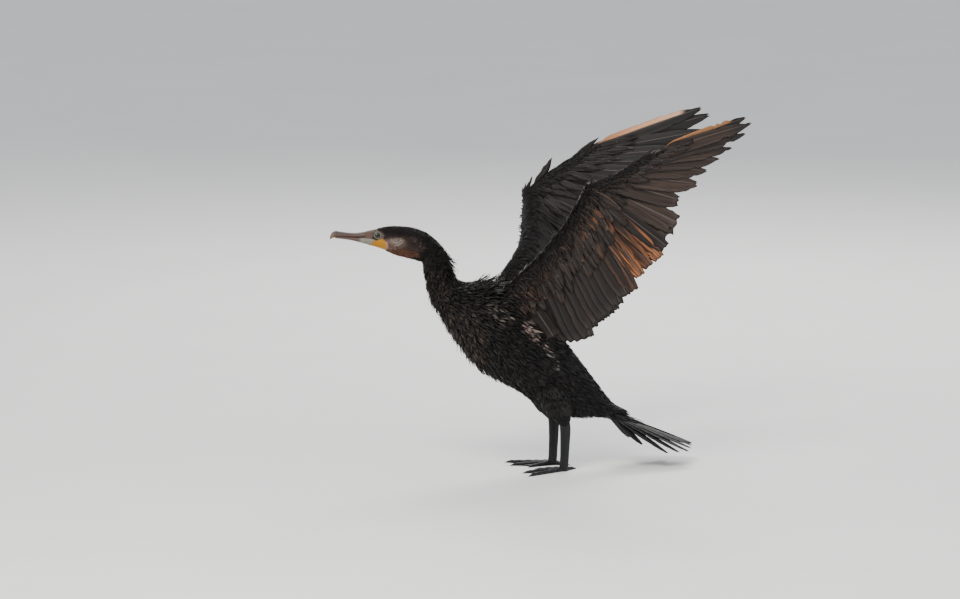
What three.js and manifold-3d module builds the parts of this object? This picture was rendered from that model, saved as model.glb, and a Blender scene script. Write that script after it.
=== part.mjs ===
// A great cormorant, life size, standing with both wings raised to dry.
// Millimetres, +Z up. The bird faces -X, its left side is -Y, and it stands on the plane z = 0.
// The origin is the middle of the whole bird's box, at the level of the soles.
import * as THREE from 'three';
import { mergeVertices } from 'three/addons/utils/BufferGeometryUtils.js';
import Module from 'manifold-3d';

const wasm = await Module();
wasm.setup();

const vec = (x, y, z) => new THREE.Vector3(x, y, z);
const mirror = (v) => vec(v.x, -v.y, v.z);

// Driving sizes
const cut = 0.3;              // width of the thin cut between two parts
const coatClear = 0.45;       // how far a limb's root stays off the torso it grows from
const tidyGrain = 0.05;       // slivers finer than this are taken out of a joined part
const ringPoints = 22;        // corners round the body
const ringStep = 0.4;         // body sections between two stated ones
const billLength = 65;
const eyeRadius = 6;
const legHalfSpan = 38;       // from the midline to each leg
const heelHeight = 80;        // joint between the feathered leg and the bare one
const ankleHeight = 13;       // joint between the bare leg and the foot
const legX = 13;

// The body's outline from the side, front to back: the upper and the lower edge
// as x and z, then the half width across
const bodySections = {
  billBase: [-347, 441, -347, 419, 9.5],
  lores: [-322, 446, -315, 408, 15.5],
  crown: [-293, 449, -287, 396, 20.5],
  nape: [-255, 444, -256, 387, 21],
  napeFold: [-222, 427, -242, 380, 20],
  upperNeck: [-193, 394, -237, 358, 21],
  lowerNeck: [-184, 357, -227, 317, 25],
  neckBase: [-158, 343, -206, 281, 36],
  shoulders: [-110, 338, -177, 237, 53],
  breast: [-54, 307, -136, 187, 64],
  belly: [0, 256, -78, 150, 66],
  flank: [43, 205, -24, 117, 61],
  rump: [78, 159, 26, 97, 47],
  vent: [103, 127, 75, 91, 30],
  tailBase: [127, 108, 106, 85, 18],
};
const sectionNames = Object.keys(bodySections);
const sectionValues = Object.values(bodySections);
const headEnd = 3.5;          // where the cuts are, counted in sections
const neckEnd = 6.8;
const torsoEnd = 13.2;
const tailEnd = 14;

const upperEdge = new THREE.CatmullRomCurve3(sectionValues.map((s) => vec(s[0], 0, s[1])));
const lowerEdge = new THREE.CatmullRomCurve3(sectionValues.map((s) => vec(s[2], 0, s[3])));
const halfWidths = new THREE.CatmullRomCurve3(sectionValues.map((s, i) => vec(i, s[4], 0)));

const colours = {
  plumage: 0x2a211c,
  throat: 0x8a5a36,
  flight: 0x33271f,
  horn: 0x8d8378,
  iris: 0x2f7f6a,
  skin: 0x24282b,
};

// A closed solid from its corners and triangles, its faces turned outwards
function solid(points, triangles) {
  let volume = 0;
  for (let i = 0; i < triangles.length; i += 3) {
    const [a, b, c] = [0, 1, 2].map((k) => points[triangles[i + k]]);
    volume += a.dot(b.clone().cross(c));
  }
  if (volume < 0) triangles.reverse();
  const vertProperties = new Float32Array(points.flatMap((p) => [p.x, p.y, p.z]));
  const triVerts = new Uint32Array(triangles);
  return new wasm.Manifold(new wasm.Mesh({ numProp: 3, vertProperties, triVerts }));
}

// Rings of corners joined one to the next. From the corner lowerFrom on, the quads are
// split the other way, so that the two faces of a thin vane are split alike.
function loft(rings, lowerFrom = Infinity, capFrom = 0) {
  const count = rings[0].length;
  const triangles = [];
  for (let ring = 0; ring < rings.length - 1; ring += 1) {
    for (let corner = 0; corner < count; corner += 1) {
      const a = ring * count + corner;
      const b = ring * count + (corner + 1) % count;
      if (corner < lowerFrom) triangles.push(a, b, b + count, a, b + count, a + count);
      else triangles.push(a, b, a + count, b, b + count, a + count);
    }
  }
  const last = (rings.length - 1) * count;
  for (let k = 1; k < count - 1; k += 1) {
    const b = (capFrom + k) % count;
    const c = (capFrom + k + 1) % count;
    triangles.push(capFrom, c, b, last + capFrom, last + b, last + c);
  }
  return solid(rings.flat(), triangles);
}

function fromGeometry(geometry, matrix = new THREE.Matrix4()) {
  geometry.deleteAttribute('normal');
  geometry.deleteAttribute('uv');
  const merged = mergeVertices(geometry.applyMatrix4(matrix), 1e-4);
  const position = merged.attributes.position;
  const points = Array.from({ length: position.count }, (_, i) => vec().fromBufferAttribute(position, i));
  return solid(points, Array.from(merged.index.array));
}

const join = (pieces) => pieces.reduce((whole, piece) => whole.add(piece));

function largest(whole) {
  const bodies = whole.decompose();
  return bodies.reduce((best, body) => (body.volume() > best.volume() ? body : best));
}

const group = new THREE.Group();

function addNode(name, whole, colour, roughness = 0.7) {
  const { vertProperties, triVerts } = largest(whole.simplify(tidyGrain)).getMesh();
  const geometry = new THREE.BufferGeometry();
  geometry.setAttribute('position', new THREE.BufferAttribute(vertProperties, 3));
  geometry.setIndex(new THREE.BufferAttribute(triVerts, 1));
  geometry.computeVertexNormals();
  const material = new THREE.MeshStandardMaterial({ color: colour, roughness, metalness: 0 });
  const mesh = new THREE.Mesh(geometry, material);
  mesh.name = name;
  group.add(mesh);
}

// One ring of the body at a place counted in sections, grown outwards and moved along the body
function bodyRing(place, grow = 0, shift = 0) {
  const t = place / (sectionNames.length - 1);
  const top = upperEdge.getPoint(t);
  const bottom = lowerEdge.getPoint(t);
  const half = halfWidths.getPoint(t).y + grow;
  const middle = top.clone().add(bottom).multiplyScalar(0.5);
  const up = top.clone().sub(middle);
  const along = vec(0, 1, 0).cross(up).normalize();
  up.setLength(up.length() + grow);
  return Array.from({ length: ringPoints }, (_, i) => {
    const angle = (2 * Math.PI * i) / ringPoints;
    const point = middle.clone().addScaledVector(up, Math.cos(angle));
    point.y += half * Math.sin(angle);
    return point.addScaledVector(along, shift);
  });
}

function bodyLength(from, to, grow = 0, startShift = 0) {
  const steps = Math.max(2, Math.round((to - from) / ringStep));
  const rings = Array.from({ length: steps + 1 }, (_, i) => {
    const place = from + ((to - from) * i) / steps;
    return bodyRing(place, grow, i === 0 ? startShift : 0);
  });
  return loft(rings);
}

// Flattened rings down a bill, toe or bone: each section is its middle, then half the
// width and half the depth
function tapered(sections, across, deep, sides = 10) {
  return loft(sections.map(([middle, half, depth]) => Array.from({ length: sides }, (_, i) => {
    const angle = (2 * Math.PI * (i + 0.5)) / sides;
    const point = middle.clone().addScaledVector(across, half * Math.cos(angle));
    return point.addScaledVector(deep, depth * Math.sin(angle));
  })));
}

// Values at stated places, with a smooth curve between them
function track(places, points) {
  const curve = new THREE.CatmullRomCurve3(points);
  return (t) => {
    let k = 0;
    while (k < places.length - 2 && t > places[k + 1]) k += 1;
    const share = THREE.MathUtils.clamp((t - places[k]) / (places[k + 1] - places[k]), 0, 1);
    return curve.getPoint((k + share) / (places.length - 1));
  };
}

// Which way along the body moves a ring towards the tail by the width of a cut
function cutShift(place) {
  const t = place / (sectionNames.length - 1);
  const top = upperEdge.getPoint(t);
  const middle = top.clone().add(lowerEdge.getPoint(t)).multiplyScalar(0.5);
  return vec(0, 1, 0).cross(top.sub(middle)).x > 0 ? cut : -cut;
}

// Head, bill and eyes
const eyePlace = vec(-326, 0, 435);
const eyeSide = 11.5;
const socketClear = 0.35;
const lidRadius = 6.6;
const lidThick = 1.5;

function ball(radius, place) {
  return fromGeometry(new THREE.SphereGeometry(radius, 12, 8), new THREE.Matrix4().setPosition(place));
}

function lid(side) {
  const matrix = new THREE.Matrix4().makeRotationX(Math.PI / 2);
  matrix.setPosition(eyePlace.x, side * (eyeSide + 2.6), eyePlace.z);
  return fromGeometry(new THREE.TorusGeometry(lidRadius, lidThick, 6, 14), matrix);
}

function mouthLine(side) {
  const length = 34;
  const box = new THREE.BoxGeometry(length, 5, 0.9);
  const slope = new THREE.Matrix4().makeRotationY(0.14);
  const matrix = new THREE.Matrix4().makeRotationZ(side * 0.19).multiply(slope);
  matrix.setPosition(-347 + length / 2 - 2, side * 12.6, 428.4);
  return fromGeometry(box, matrix);
}

function buildHead() {
  let head = bodyLength(0, headEnd);
  for (const side of [-1, 1]) {
    const eyeball = eyePlace.clone().setY(side * eyeSide);
    head = head.add(lid(side)).subtract(ball(eyeRadius + socketClear, eyeball)).subtract(mouthLine(side));
    addNode(side < 0 ? 'eye_left' : 'eye_right', ball(eyeRadius, eyeball), colours.iris, 0.1);
  }
  addNode('head', head, colours.throat);
}

// The bill: each section is x, the upper and the lower edge, and the half width
const billFront = -347.3;
const upperBill = [
  [0, 440.6, 430.6, 8.6],
  [0.22, 439.2, 431, 6.7],
  [0.45, 440.2, 432, 5.3],
  [0.68, 442.3, 432.8, 4.5],
  [0.82, 443.8, 432.8, 4.2],
  [0.92, 441.8, 431.3, 3.6],
  [0.98, 437.5, 429.6, 2.5],
  [1, 434, 428.8, 1.3],
];
const lowerBill = [
  [0, 430, 419, 8.4],
  [0.22, 430.4, 423.4, 6.5],
  [0.45, 431.4, 426.8, 4.9],
  [0.68, 432.1, 429, 3.8],
  [0.8, 432, 429.9, 2.9],
  [0.85, 431.6, 430.3, 1.8],
];

function mandible(sections) {
  return tapered(sections.map(([share, top, bottom, half]) => {
    const middle = vec(billFront - share * billLength, 0, (top + bottom) / 2);
    return [middle, half, (top - bottom) / 2];
  }), vec(0, 1, 0), vec(0, 0, 1), 12);
}

function nostril(side) {
  const matrix = new THREE.Matrix4().makeRotationZ(side * 0.1);
  matrix.setPosition(billFront - 12, side * 6.9, 436.6);
  return fromGeometry(new THREE.BoxGeometry(6, 2.2, 0.9), matrix);
}

function buildBill() {
  addNode('bill_upper', mandible(upperBill).subtract(nostril(-1)).subtract(nostril(1)), colours.horn, 0.4);
  addNode('bill_lower', mandible(lowerBill), colours.horn, 0.4);
}

// Legs. Lengths of the toes from the middle of the foot, with the way each points
const toes = {
  inner: { length: 62, turn: -24, half: 4.2 },
  middle: { length: 84, turn: 4, half: 4.6 },
  outer: { length: 94, turn: 29, half: 4.4 },
  hallux: { length: 40, turn: -118, half: 3.6 },
};
const clawLength = 13;
const webThick = 2;

function toeTip(side, toe, reach = 1) {
  const angle = THREE.MathUtils.degToRad(toe.turn);
  const centre = vec(legX - 2, side * legHalfSpan, 0);
  return centre.add(vec(-Math.cos(angle), side * Math.sin(angle), 0).multiplyScalar(toe.length * reach));
}

function buildToe(side, toe) {
  const root = vec(legX - 2, side * legHalfSpan, 0);
  const forward = toeTip(side, toe).sub(root).normalize();
  const across = vec(0, 0, 1).cross(forward);
  const at = (distance, height) => root.clone().addScaledVector(forward, distance).setZ(height);
  const end = toe.length - clawLength;
  return tapered([
    [at(-4, 4), toe.half, 6],
    [at(end * 0.34, 3), toe.half * 0.82, 4.6],
    [at(end * 0.38, 3.2), toe.half * 0.95, 4.8],
    [at(end * 0.7, 2.4), toe.half * 0.78, 4],
    [at(end, 2.2), toe.half * 0.74, 3.4],
    [at(end + 1.5, 2), 2, 2.8],
    [at(toe.length - 4, 1.8), 1.2, 2.4],
    [at(toe.length, 0.8), 0.5, 0.9],
  ], across, vec(0, 0, 1), 8);
}

function buildWeb(side, first, second, dip) {
  const root = vec(legX - 2, side * legHalfSpan, 0);
  const a = toeTip(side, first, 0.86);
  const b = toeTip(side, second, 0.86);
  const edge = a.clone().add(b).multiplyScalar(0.5).lerp(root, dip);
  const corners = [root, a, edge, b];
  const lower = corners.map((p) => p.clone().setZ(-1));
  const upper = corners.map((p) => p.clone().setZ(webThick));
  return solid([...lower, ...upper], [
    0, 1, 2, 0, 2, 3, 4, 6, 5, 4, 7, 6,
    0, 5, 1, 0, 4, 5, 1, 6, 2, 1, 5, 6, 2, 7, 3, 2, 6, 7, 3, 4, 0, 3, 7, 4,
  ]);
}

function buildLeg(side, torsoClear) {
  const name = side < 0 ? 'left' : 'right';
  const x = legX;
  const y = side * legHalfSpan;
  const thigh = tapered([
    [vec(-14, side * 26, 190), 26, 30],
    [vec(-8, side * 31, 150), 30, 36],
    [vec(-1, side * 35, 118), 25, 29],
    [vec(6, side * 37, 98), 17, 19],
    [vec(11, y, 86), 9, 10],
    [vec(x, y, heelHeight + cut / 2), 6.5, 7],
  ], vec(0, 1, 0), vec(1, 0, 0), 16);
  addNode(`thigh_${name}`, thigh.subtract(torsoClear), colours.plumage);
  addNode(`leg_${name}`, tapered([
    [vec(x, y, heelHeight - cut / 2), 5.4, 7.2],
    [vec(x + 0.5, y, heelHeight - 9), 5.2, 7],
    [vec(x, y, heelHeight - 20), 3.9, 5.4],
    [vec(x, y, ankleHeight + 16), 4, 5.2],
    [vec(x - 1, y, ankleHeight + cut / 2), 5.4, 6.6],
  ], vec(0, 1, 0), vec(1, 0, 0), 12), colours.skin, 0.5);
  const ankle = tapered([
    [vec(x - 1, y, ankleHeight - cut / 2), 5.4, 6.6],
    [vec(x - 2, y, 6), 6.4, 7.6],
    [vec(x - 2, y, -2), 6.4, 7.6],
  ], vec(0, 1, 0), vec(1, 0, 0), 12);
  const foot = join([
    ankle,
    ...Object.values(toes).map((toe) => buildToe(side, toe)),
    buildWeb(side, toes.hallux, toes.inner, 0.42),
    buildWeb(side, toes.inner, toes.middle, 0.1),
    buildWeb(side, toes.middle, toes.outer, 0.1),
  ]);
  addNode(`foot_${name}`, foot.trimByPlane([0, 0, 1], 0), colours.skin, 0.5);
}

// Wings. The leading edge runs from inside the shoulder to the wrist, then to the tip of the
// hand. The reach is the way from the leading edge to the tips of the flight feathers.
const armReachPlaces = [0, 0.14, 0.3, 0.47, 0.75, 1];
const armReach = [
  vec(73, -8, -100),
  vec(82, 0, -130),
  vec(80, 3, -158),
  vec(90, 10, -162),
  vec(106, 10, -158),
  vec(146, -10, -108),
];
const armFrom = 0.22;         // where on the arm's leading edge the innermost feather stands
const handReachPlaces = [0, 0.333, 0.667, 0.889, 1];
const handReach = [
  vec(155, 18, -92),
  vec(162, 38, -23),
  vec(189, 48, 13),
  vec(206, 48, 50),
  vec(188, 49, 58),
];
const wings = {
  left: {
    side: -1,
    arm: [vec(-122, -20, 312), vec(-62, -66, 378), vec(-16, -135, 459), vec(8, -192, 534)],
    hand: [vec(8, -192, 534), vec(60, -193, 553), vec(110, -185, 578), vec(135, -180, 586)],
    handScale: 1,
    alulaLift: 3,
  },
  right: {
    side: 1,
    arm: [vec(-122, 20, 312), vec(-41, 85, 388), vec(-12, 150, 435), vec(5, 210, 474)],
    hand: [vec(5, 210, 474), vec(50, 211, 508), vec(97, 204, 536), vec(120, 200, 552)],
    handScale: 1.06,
    alulaLift: 15,
  },
};
const armChord = [46, 34, 30, 24];      // leading edge to the roots of the flight feathers
const armThick = [17, 11, 8, 6.5];       // half thickness of the flesh at its thickest
const handChord = [24, 22, 16, 11];
const handThick = [6.5, 6, 4.8, 4];

// Rows of feathers. Each row has a count, where its roots stand between the leading edge and
// the roots of the flight feathers, how far it lies off the middle of the flesh, its length
// as a share of the reach, how much it climbs away from the wing, and its widths.
const armRows = {
  secondaries: {
    count: 16, chord: 0.6, off: 0, share: 1, climb: 0, widths: [36, 33], long: true, blunt: 0.5,
  },
  upperGreater: { count: 11, chord: 0.7, off: 0.4, share: 0.52, climb: 0.05, widths: [32, 28] },
  upperMedian: { count: 8, chord: 0.4, off: 0.5, share: 0.36, climb: 0.1, widths: [32, 26] },
  lowerGreater: { count: 9, chord: 0.7, off: -0.4, share: 0.48, climb: -0.05, widths: [32, 28] },
  lowerMedian: { count: 6, chord: 0.4, off: -0.5, share: 0.33, climb: -0.1, widths: [32, 26] },
};
const handRows = {
  primaries: {
    count: 10, chord: 0.55, off: 0, share: 1, climb: 0, widths: [32, 22],
    long: true, ridge: true, blunt: 0.34,
  },
  upperPrimary: { count: 7, chord: 0.6, off: 0.45, share: 0.4, climb: 0.05, widths: [22, 15] },
  lowerPrimary: { count: 6, chord: 0.6, off: -0.45, share: 0.36, climb: -0.05, widths: [22, 15] },
};
const alulaCount = 3;
const alulaLength = 62;
const vaneTilt = 0.16;        // how far each vane is turned about its shaft, in radians
const vaneBow = 0.035;        // how far a tip bends under, as a share of the length
const outerShare = 0.36;      // the outer half of a vane is the narrower one
const edgeThick = 0.6;
const flightShape = [[0, 0.42, 2.6], [0.38, 0.95, 1.7], [0.84, 0.9, 1.1], [1, 0.34, 0.8]];
const covertShape = [[0, 0.62, 1.1], [0.66, 1, 0.8], [1, 0.34, 0.7]];
const lengthSpread = 0.035;   // how unlike each other neighbouring feathers are

// A repeatable draw between -1 and 1
let drawState = 20250;
function draw() {
  drawState = (drawState * 1664525 + 1013904223) % 4294967296;
  return (2 * drawState) / 4294967296 - 1;
}

function orient(wing, v) {
  return wing.side < 0 ? v.clone() : mirror(v);
}

function square(normal, along) {
  return normal.clone().addScaledVector(along, -normal.dot(along)).normalize();
}

// The way a wing's upper side faces, from its leading edge and the reach of its feathers
function wingNormal(wing, lead, reach) {
  const normal = lead[3].clone().sub(lead[1]).cross(reach).normalize();
  return normal.dot(orient(wing, vec(0.4, 0.8, 0.4))) < 0 ? normal.negate() : normal;
}

// One feather. A primary has a ridge down its shaft, the others are flat blades. The side
// vector points to the outer edge, which is turned up over the next feather out.
function vane(root, reach, normal, side, width, row) {
  const length = reach.length();
  const forward = reach.clone().normalize();
  const flatUp = square(normal, forward);
  const flatSide = flatUp.clone().cross(forward);
  if (flatSide.dot(side) < 0) flatSide.negate();
  const rise = Math.sin(vaneTilt);
  const flat = Math.cos(vaneTilt);
  const out = flatSide.clone().multiplyScalar(flat).addScaledVector(flatUp, rise);
  const up = flatUp.clone().multiplyScalar(flat).addScaledVector(flatSide, -rise);
  const shape = row.long ? flightShape : covertShape;
  const rings = shape.map(([share, spread, thick], i) => {
    const last = i === shape.length - 1;
    const wide = width * (last && row.blunt ? row.blunt : spread);
    const middle = root.clone().addScaledVector(forward, length * share);
    middle.addScaledVector(flatUp, -length * vaneBow * share * share);
    const at = (across, height) => middle.clone().addScaledVector(out, across).addScaledVector(up, height);
    const outer = wide * outerShare;
    const inner = -wide * (1 - outerShare);
    const edge = row.ridge ? edgeThick / 2 : thick / 2;
    if (!row.ridge) return [at(outer, edge), at(inner, edge), at(inner, -edge), at(outer, -edge)];
    return [
      at(outer, edge), at(0, thick / 2), at(inner, edge),
      at(inner, -edge), at(0, -thick / 2), at(outer, -edge),
    ];
  });
  return row.ridge ? loft(rings, 3, 1) : loft(rings, 2);
}

// A curve along a wing's leading edge, with the sizes of the flesh behind it
function wingLength(lead, reachAt, chords, thicknesses, normal) {
  const curve = new THREE.CatmullRomCurve3(lead);
  const sizes = new THREE.CatmullRomCurve3(chords.map((chord, i) => vec(chord, thicknesses[i], 0)));
  return (t) => {
    const reach = reachAt(t);
    const back = reach.clone().normalize();
    const size = sizes.getPoint(t);
    return {
      start: curve.getPoint(t), out: curve.getTangent(t), reach, back,
      chord: size.x, thick: size.y, up: square(normal, back),
    };
  };
}

// The flesh of an arm or hand: flattened rings between the leading edge and the feather roots
function wingFlesh(stationAt, count = 7, corners = 8) {
  return loft(Array.from({ length: count }, (_, i) => {
    const { start, back, chord, thick, up } = stationAt(i / (count - 1));
    return Array.from({ length: corners }, (_unused, k) => {
      const angle = (2 * Math.PI * (k + 0.5)) / corners;
      const chordShare = 0.5 + 0.5 * Math.cos(angle);
      const height = Math.sin(angle) * thick * (0.4 + 0.6 * chordShare);
      return start.clone().addScaledVector(back, chordShare * chord).addScaledVector(up, height);
    });
  }));
}

function featherRow(stationAt, from, row) {
  return Array.from({ length: row.count }, (_, i) => {
    const share = i / (row.count - 1);
    const station = stationAt(from + (1 - from) * share);
    const root = station.start.clone().addScaledVector(station.back, station.chord * row.chord);
    root.addScaledVector(station.up, station.thick * row.off);
    const tip = station.start.clone().add(station.reach);
    const reach = tip.sub(root).multiplyScalar(row.share * (1 + lengthSpread * draw()));
    reach.addScaledVector(station.up, row.climb * reach.length());
    return vane(root, reach, station.up, station.out, THREE.MathUtils.lerp(...row.widths, share), row);
  });
}

// The small feathers of the thumb, on the leading edge just past the wrist
function alula(stationAt, wing) {
  return Array.from({ length: alulaCount }, (_, i) => {
    const station = stationAt(0.1 + 0.07 * i);
    const root = station.start.clone().addScaledVector(station.back, 6 + i * 2);
    root.addScaledVector(station.up, 1.5);
    const reach = station.out.clone().multiplyScalar(alulaLength - 9 * i);
    reach.addScaledVector(station.back, 2 - wing.alulaLift + 3 * i).addScaledVector(station.up, 5);
    const across = station.back.clone().negate();
    return vane(root, reach, station.up, across, 15, { blunt: 0 });
  });
}

function buildWing(name, wing, torsoClear) {
  const armReachAt = track(armReachPlaces, armReach.map((v) => orient(wing, v)));
  const handKeys = handReach.map((v) => orient(wing, v).multiplyScalar(wing.handScale));
  const handReachAt = track(handReachPlaces, handKeys);
  const armNormal = wingNormal(wing, wing.arm, armReachAt(0.5));
  const handNormal = wingNormal(wing, wing.hand, handReachAt(0.35));
  const armShare = (t) => THREE.MathUtils.clamp((t - armFrom) / (1 - armFrom), 0, 1);
  const armAt = wingLength(wing.arm, (t) => armReachAt(armShare(t)), armChord, armThick, armNormal);
  const handAt = wingLength(wing.hand, handReachAt, handChord, handThick, handNormal);
  const arm = join([
    wingFlesh(armAt),
    ...Object.values(armRows).flatMap((row) => featherRow(armAt, armFrom, row)),
  ]);
  const hand = join([
    wingFlesh(handAt),
    ...Object.values(handRows).flatMap((row) => featherRow(handAt, 0, row)),
    ...alula(handAt, wing),
  ]);
  // The cut at the wrist runs between the innermost primary and the outermost secondary
  const wrist = wing.hand[0];
  const seamWay = armReachAt(1).normalize().add(handReachAt(0).normalize());
  const seamNormal = seamWay.cross(armNormal).normalize();
  if (seamNormal.dot(wing.hand[3].clone().sub(wrist)) < 0) seamNormal.negate();
  const seam = seamNormal.dot(wrist);
  const outwards = seamNormal.toArray();
  const inwards = seamNormal.clone().negate().toArray();
  const armAlone = arm.trimByPlane(inwards, cut / 2 - seam).subtract(torsoClear);
  addNode(`wing_${name}_arm`, armAlone, colours.flight);
  addNode(`wing_${name}_hand`, hand.trimByPlane(outwards, seam + cut / 2), colours.flight);
}

// Tail: fourteen stiff feathers in a fan, and the coverts over and under their roots. The
// outer feathers are shorter and hang lower.
const tailRows = {
  rectrices: { count: 14, length: 170, spread: 29, wide: 14, height: 0, width: 20, climb: 0, blunt: 0.3 },
  upper: { count: 6, length: 78, spread: 20, wide: 11, height: 6, width: 21, climb: 0.07 },
  lower: { count: 5, length: 74, spread: 20, wide: 11, height: -6, width: 22, climb: -0.12 },
};
const tailRoot = vec(108, 0, 98);
const tailDrop = 0.38;
const tailOuterDrop = 0.27;
const tailOuterShare = 0.6;

function tailRow(row) {
  return Array.from({ length: row.count }, (_, i) => {
    const share = (2 * i) / (row.count - 1) - 1;
    const angle = THREE.MathUtils.degToRad(row.spread * share);
    const drop = tailDrop + tailOuterDrop * share * share;
    const root = vec(tailRoot.x, row.wide * share, tailRoot.z + row.height - 2 * share * share);
    const length = row.length * (1 - (1 - tailOuterShare) * share * share) * (1 + lengthSpread * draw());
    const reach = vec(Math.cos(angle), Math.sin(angle), row.climb - drop).setLength(length);
    const side = share < 0 ? -1 : 1;
    return vane(root, reach, vec(0, 0, 1), vec(0, side, 0), row.width, row);
  });
}

function buildTail() {
  const stub = bodyLength(torsoEnd, tailEnd, 0, cutShift(torsoEnd));
  addNode('tail', join([stub, ...Object.values(tailRows).flatMap(tailRow)]), colours.flight);
}

buildHead();
buildBill();
addNode('neck', bodyLength(headEnd, neckEnd, 0, cutShift(headEnd)), colours.throat);
addNode('torso', bodyLength(neckEnd, torsoEnd, 0, cutShift(neckEnd)), colours.plumage);
const torsoClear = bodyLength(neckEnd - 0.4, tailEnd, coatClear);
buildLeg(-1, torsoClear);
buildLeg(1, torsoClear);
for (const [name, wing] of Object.entries(wings)) buildWing(name, wing, torsoClear);
buildTail();

// The origin goes to the middle of the whole bird's box, with the soles at z = 0
const box = new THREE.Box3().setFromObject(group);
const middle = box.getCenter(vec());
for (const mesh of group.children) mesh.geometry.translate(-middle.x, -middle.y, -box.min.z);

export default group;
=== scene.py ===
# A great cormorant with its wings raised to dry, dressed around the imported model.
# Lengths in the working tables are millimetres, the bird faces -X and its left is -Y.
import math
import bpy
import bmesh
import numpy as np
from mathutils import Matrix, Vector


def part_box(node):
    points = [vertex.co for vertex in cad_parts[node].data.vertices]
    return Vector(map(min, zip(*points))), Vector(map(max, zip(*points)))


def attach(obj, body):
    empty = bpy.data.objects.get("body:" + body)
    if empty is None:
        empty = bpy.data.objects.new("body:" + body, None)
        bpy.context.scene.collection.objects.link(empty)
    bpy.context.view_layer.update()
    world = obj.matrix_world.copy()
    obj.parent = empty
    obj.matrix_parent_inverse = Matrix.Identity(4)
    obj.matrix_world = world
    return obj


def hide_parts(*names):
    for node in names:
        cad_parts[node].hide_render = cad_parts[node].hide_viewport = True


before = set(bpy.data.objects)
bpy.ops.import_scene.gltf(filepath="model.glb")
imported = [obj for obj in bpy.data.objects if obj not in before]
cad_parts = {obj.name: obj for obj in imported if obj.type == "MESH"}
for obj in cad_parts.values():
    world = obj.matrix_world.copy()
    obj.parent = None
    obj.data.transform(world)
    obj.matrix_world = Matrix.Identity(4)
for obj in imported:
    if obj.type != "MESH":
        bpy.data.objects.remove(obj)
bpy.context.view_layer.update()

# The working tables share the solids' own origin, so the shift is read off the bill and legs
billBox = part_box("bill_upper")
billTipX = -412.3
shiftX = billBox[0].x * 1000 - billTipX
shiftY = (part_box("leg_left")[0].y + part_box("leg_right")[1].y) * 500
origin = np.array([shiftX, shiftY, 0.0])
rng = np.random.default_rng(7)
fullTurn = 2 * math.pi


def toModel(points):
    return (np.asarray(points, float) + origin) / 1000


# Helpers on whole arrays
def unit(v):
    return v / np.maximum(np.linalg.norm(v, axis=-1, keepdims=True), 1e-9)


def square(normal, along):
    return unit(normal - along * np.sum(normal * along, axis=-1, keepdims=True))


def lerp(a, b, t):
    return a + (b - a) * t


def smooth(low, high, x):
    t = np.clip((x - low) / (high - low), 0, 1)
    return t * t * (3 - 2 * t)


def between(x, low, full, fade, high):
    # 1 from full to fade, 0 before low and after high
    return smooth(low, full, x) * smooth(high, fade, x)


def vec(*xyz):
    return np.array(xyz, float)


def curveAt(keys, place):
    # a smooth curve through evenly counted keys
    keys = np.asarray(keys, float)
    place = np.clip(np.asarray(place, float), 0, len(keys) - 1.000001)
    i = np.floor(place).astype(int)
    t = (place - i)[..., None]
    a, b, c, d = (keys[np.clip(i + n, 0, len(keys) - 1)] for n in (-1, 0, 1, 2))
    return 0.5 * (2 * b + (c - a) * t + (2 * a - 5 * b + 4 * c - d) * t**2
                  + (3 * b - a - 3 * c + d) * t**3)


def trackAt(places, keys, t):
    return curveAt(keys, np.interp(t, places, np.arange(len(places))))


# Shader maths as expressions
class Value:
    def __init__(self, finish, socket):
        self.finish = finish
        self.socket = socket

    def math(self, operation, *others):
        return self.finish.node("ShaderNodeMath", {"operation": operation}, self, *others)

    def __add__(self, other):
        return self.math("ADD", other)

    def __sub__(self, other):
        return self.math("SUBTRACT", other)

    def __rsub__(self, other):
        return self * -1 + other

    def __mul__(self, other):
        return self.math("MULTIPLY", other)

    def __abs__(self):
        return self.math("ABSOLUTE")

    __radd__ = __add__


class Finish:
    # a node material, where one method makes any node
    def __init__(self, name):
        self.material = bpy.data.materials.new(name)
        self.material.use_nodes = True
        self.tree = self.material.node_tree
        self.shader = self.tree.nodes["Principled BSDF"]

    def node(self, kind, settings={}, *values, out=0, **named):
        made = self.tree.nodes.new(kind)
        for key, value in settings.items():
            setattr(made, key, value)
        for key, value in [*enumerate(values), *named.items()]:
            self.feed(made.inputs[key if isinstance(key, int) else key.replace("_", " ")], value)
        return Value(self, made.outputs[out])

    def feed(self, socket, value):
        if isinstance(value, Value):
            self.tree.links.new(value.socket, socket)
        elif socket.type == "RGBA" and len(value) == 3:
            socket.default_value = (*value, 1)
        else:
            socket.default_value = value

    def attribute(self, name, out="Vector"):
        return self.node("ShaderNodeAttribute", {"attribute_name": name}, out=out)

    def split(self, vector):
        made = self.node("ShaderNodeSeparateXYZ", {}, vector)
        return [Value(self, socket) for socket in made.socket.node.outputs]

    def place(self):
        return self.node("ShaderNodeTexCoord", out="Object")

    def noise(self, scale, detail=3.0, roughness=0.5, vector=None):
        return self.node("ShaderNodeTexNoise", Vector=vector or self.place(), Scale=scale, Detail=detail,
                         Roughness=roughness)

    def step(self, value, low, high):
        settings = {"interpolation_type": "SMOOTHSTEP"}
        return self.node("ShaderNodeMapRange", settings, value, low, high, 0.0, 1.0)

    def mix(self, factor, a, b):
        made = self.tree.nodes.new("ShaderNodeMix")
        made.data_type = "RGBA"
        for index, value in ((0, factor), (6, a), (7, b)):
            self.feed(made.inputs[index], value)
        return Value(self, made.outputs[2])

    def dimmed(self, colour, share):
        return self.node("ShaderNodeVectorMath", {"operation": "SCALE"}, colour, Scale=share)

    def bump(self, height, distance):
        return self.node("ShaderNodeBump", Strength=1.0, Distance=distance, Height=height)

    def set(self, **sockets):
        for key, value in sockets.items():
            self.feed(self.shader.inputs[key.replace("_", " ")], value)
        return self.material


def linked(name, data):
    made = bpy.data.objects.new(name, data)
    bpy.context.scene.collection.objects.link(made)
    return made


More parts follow.
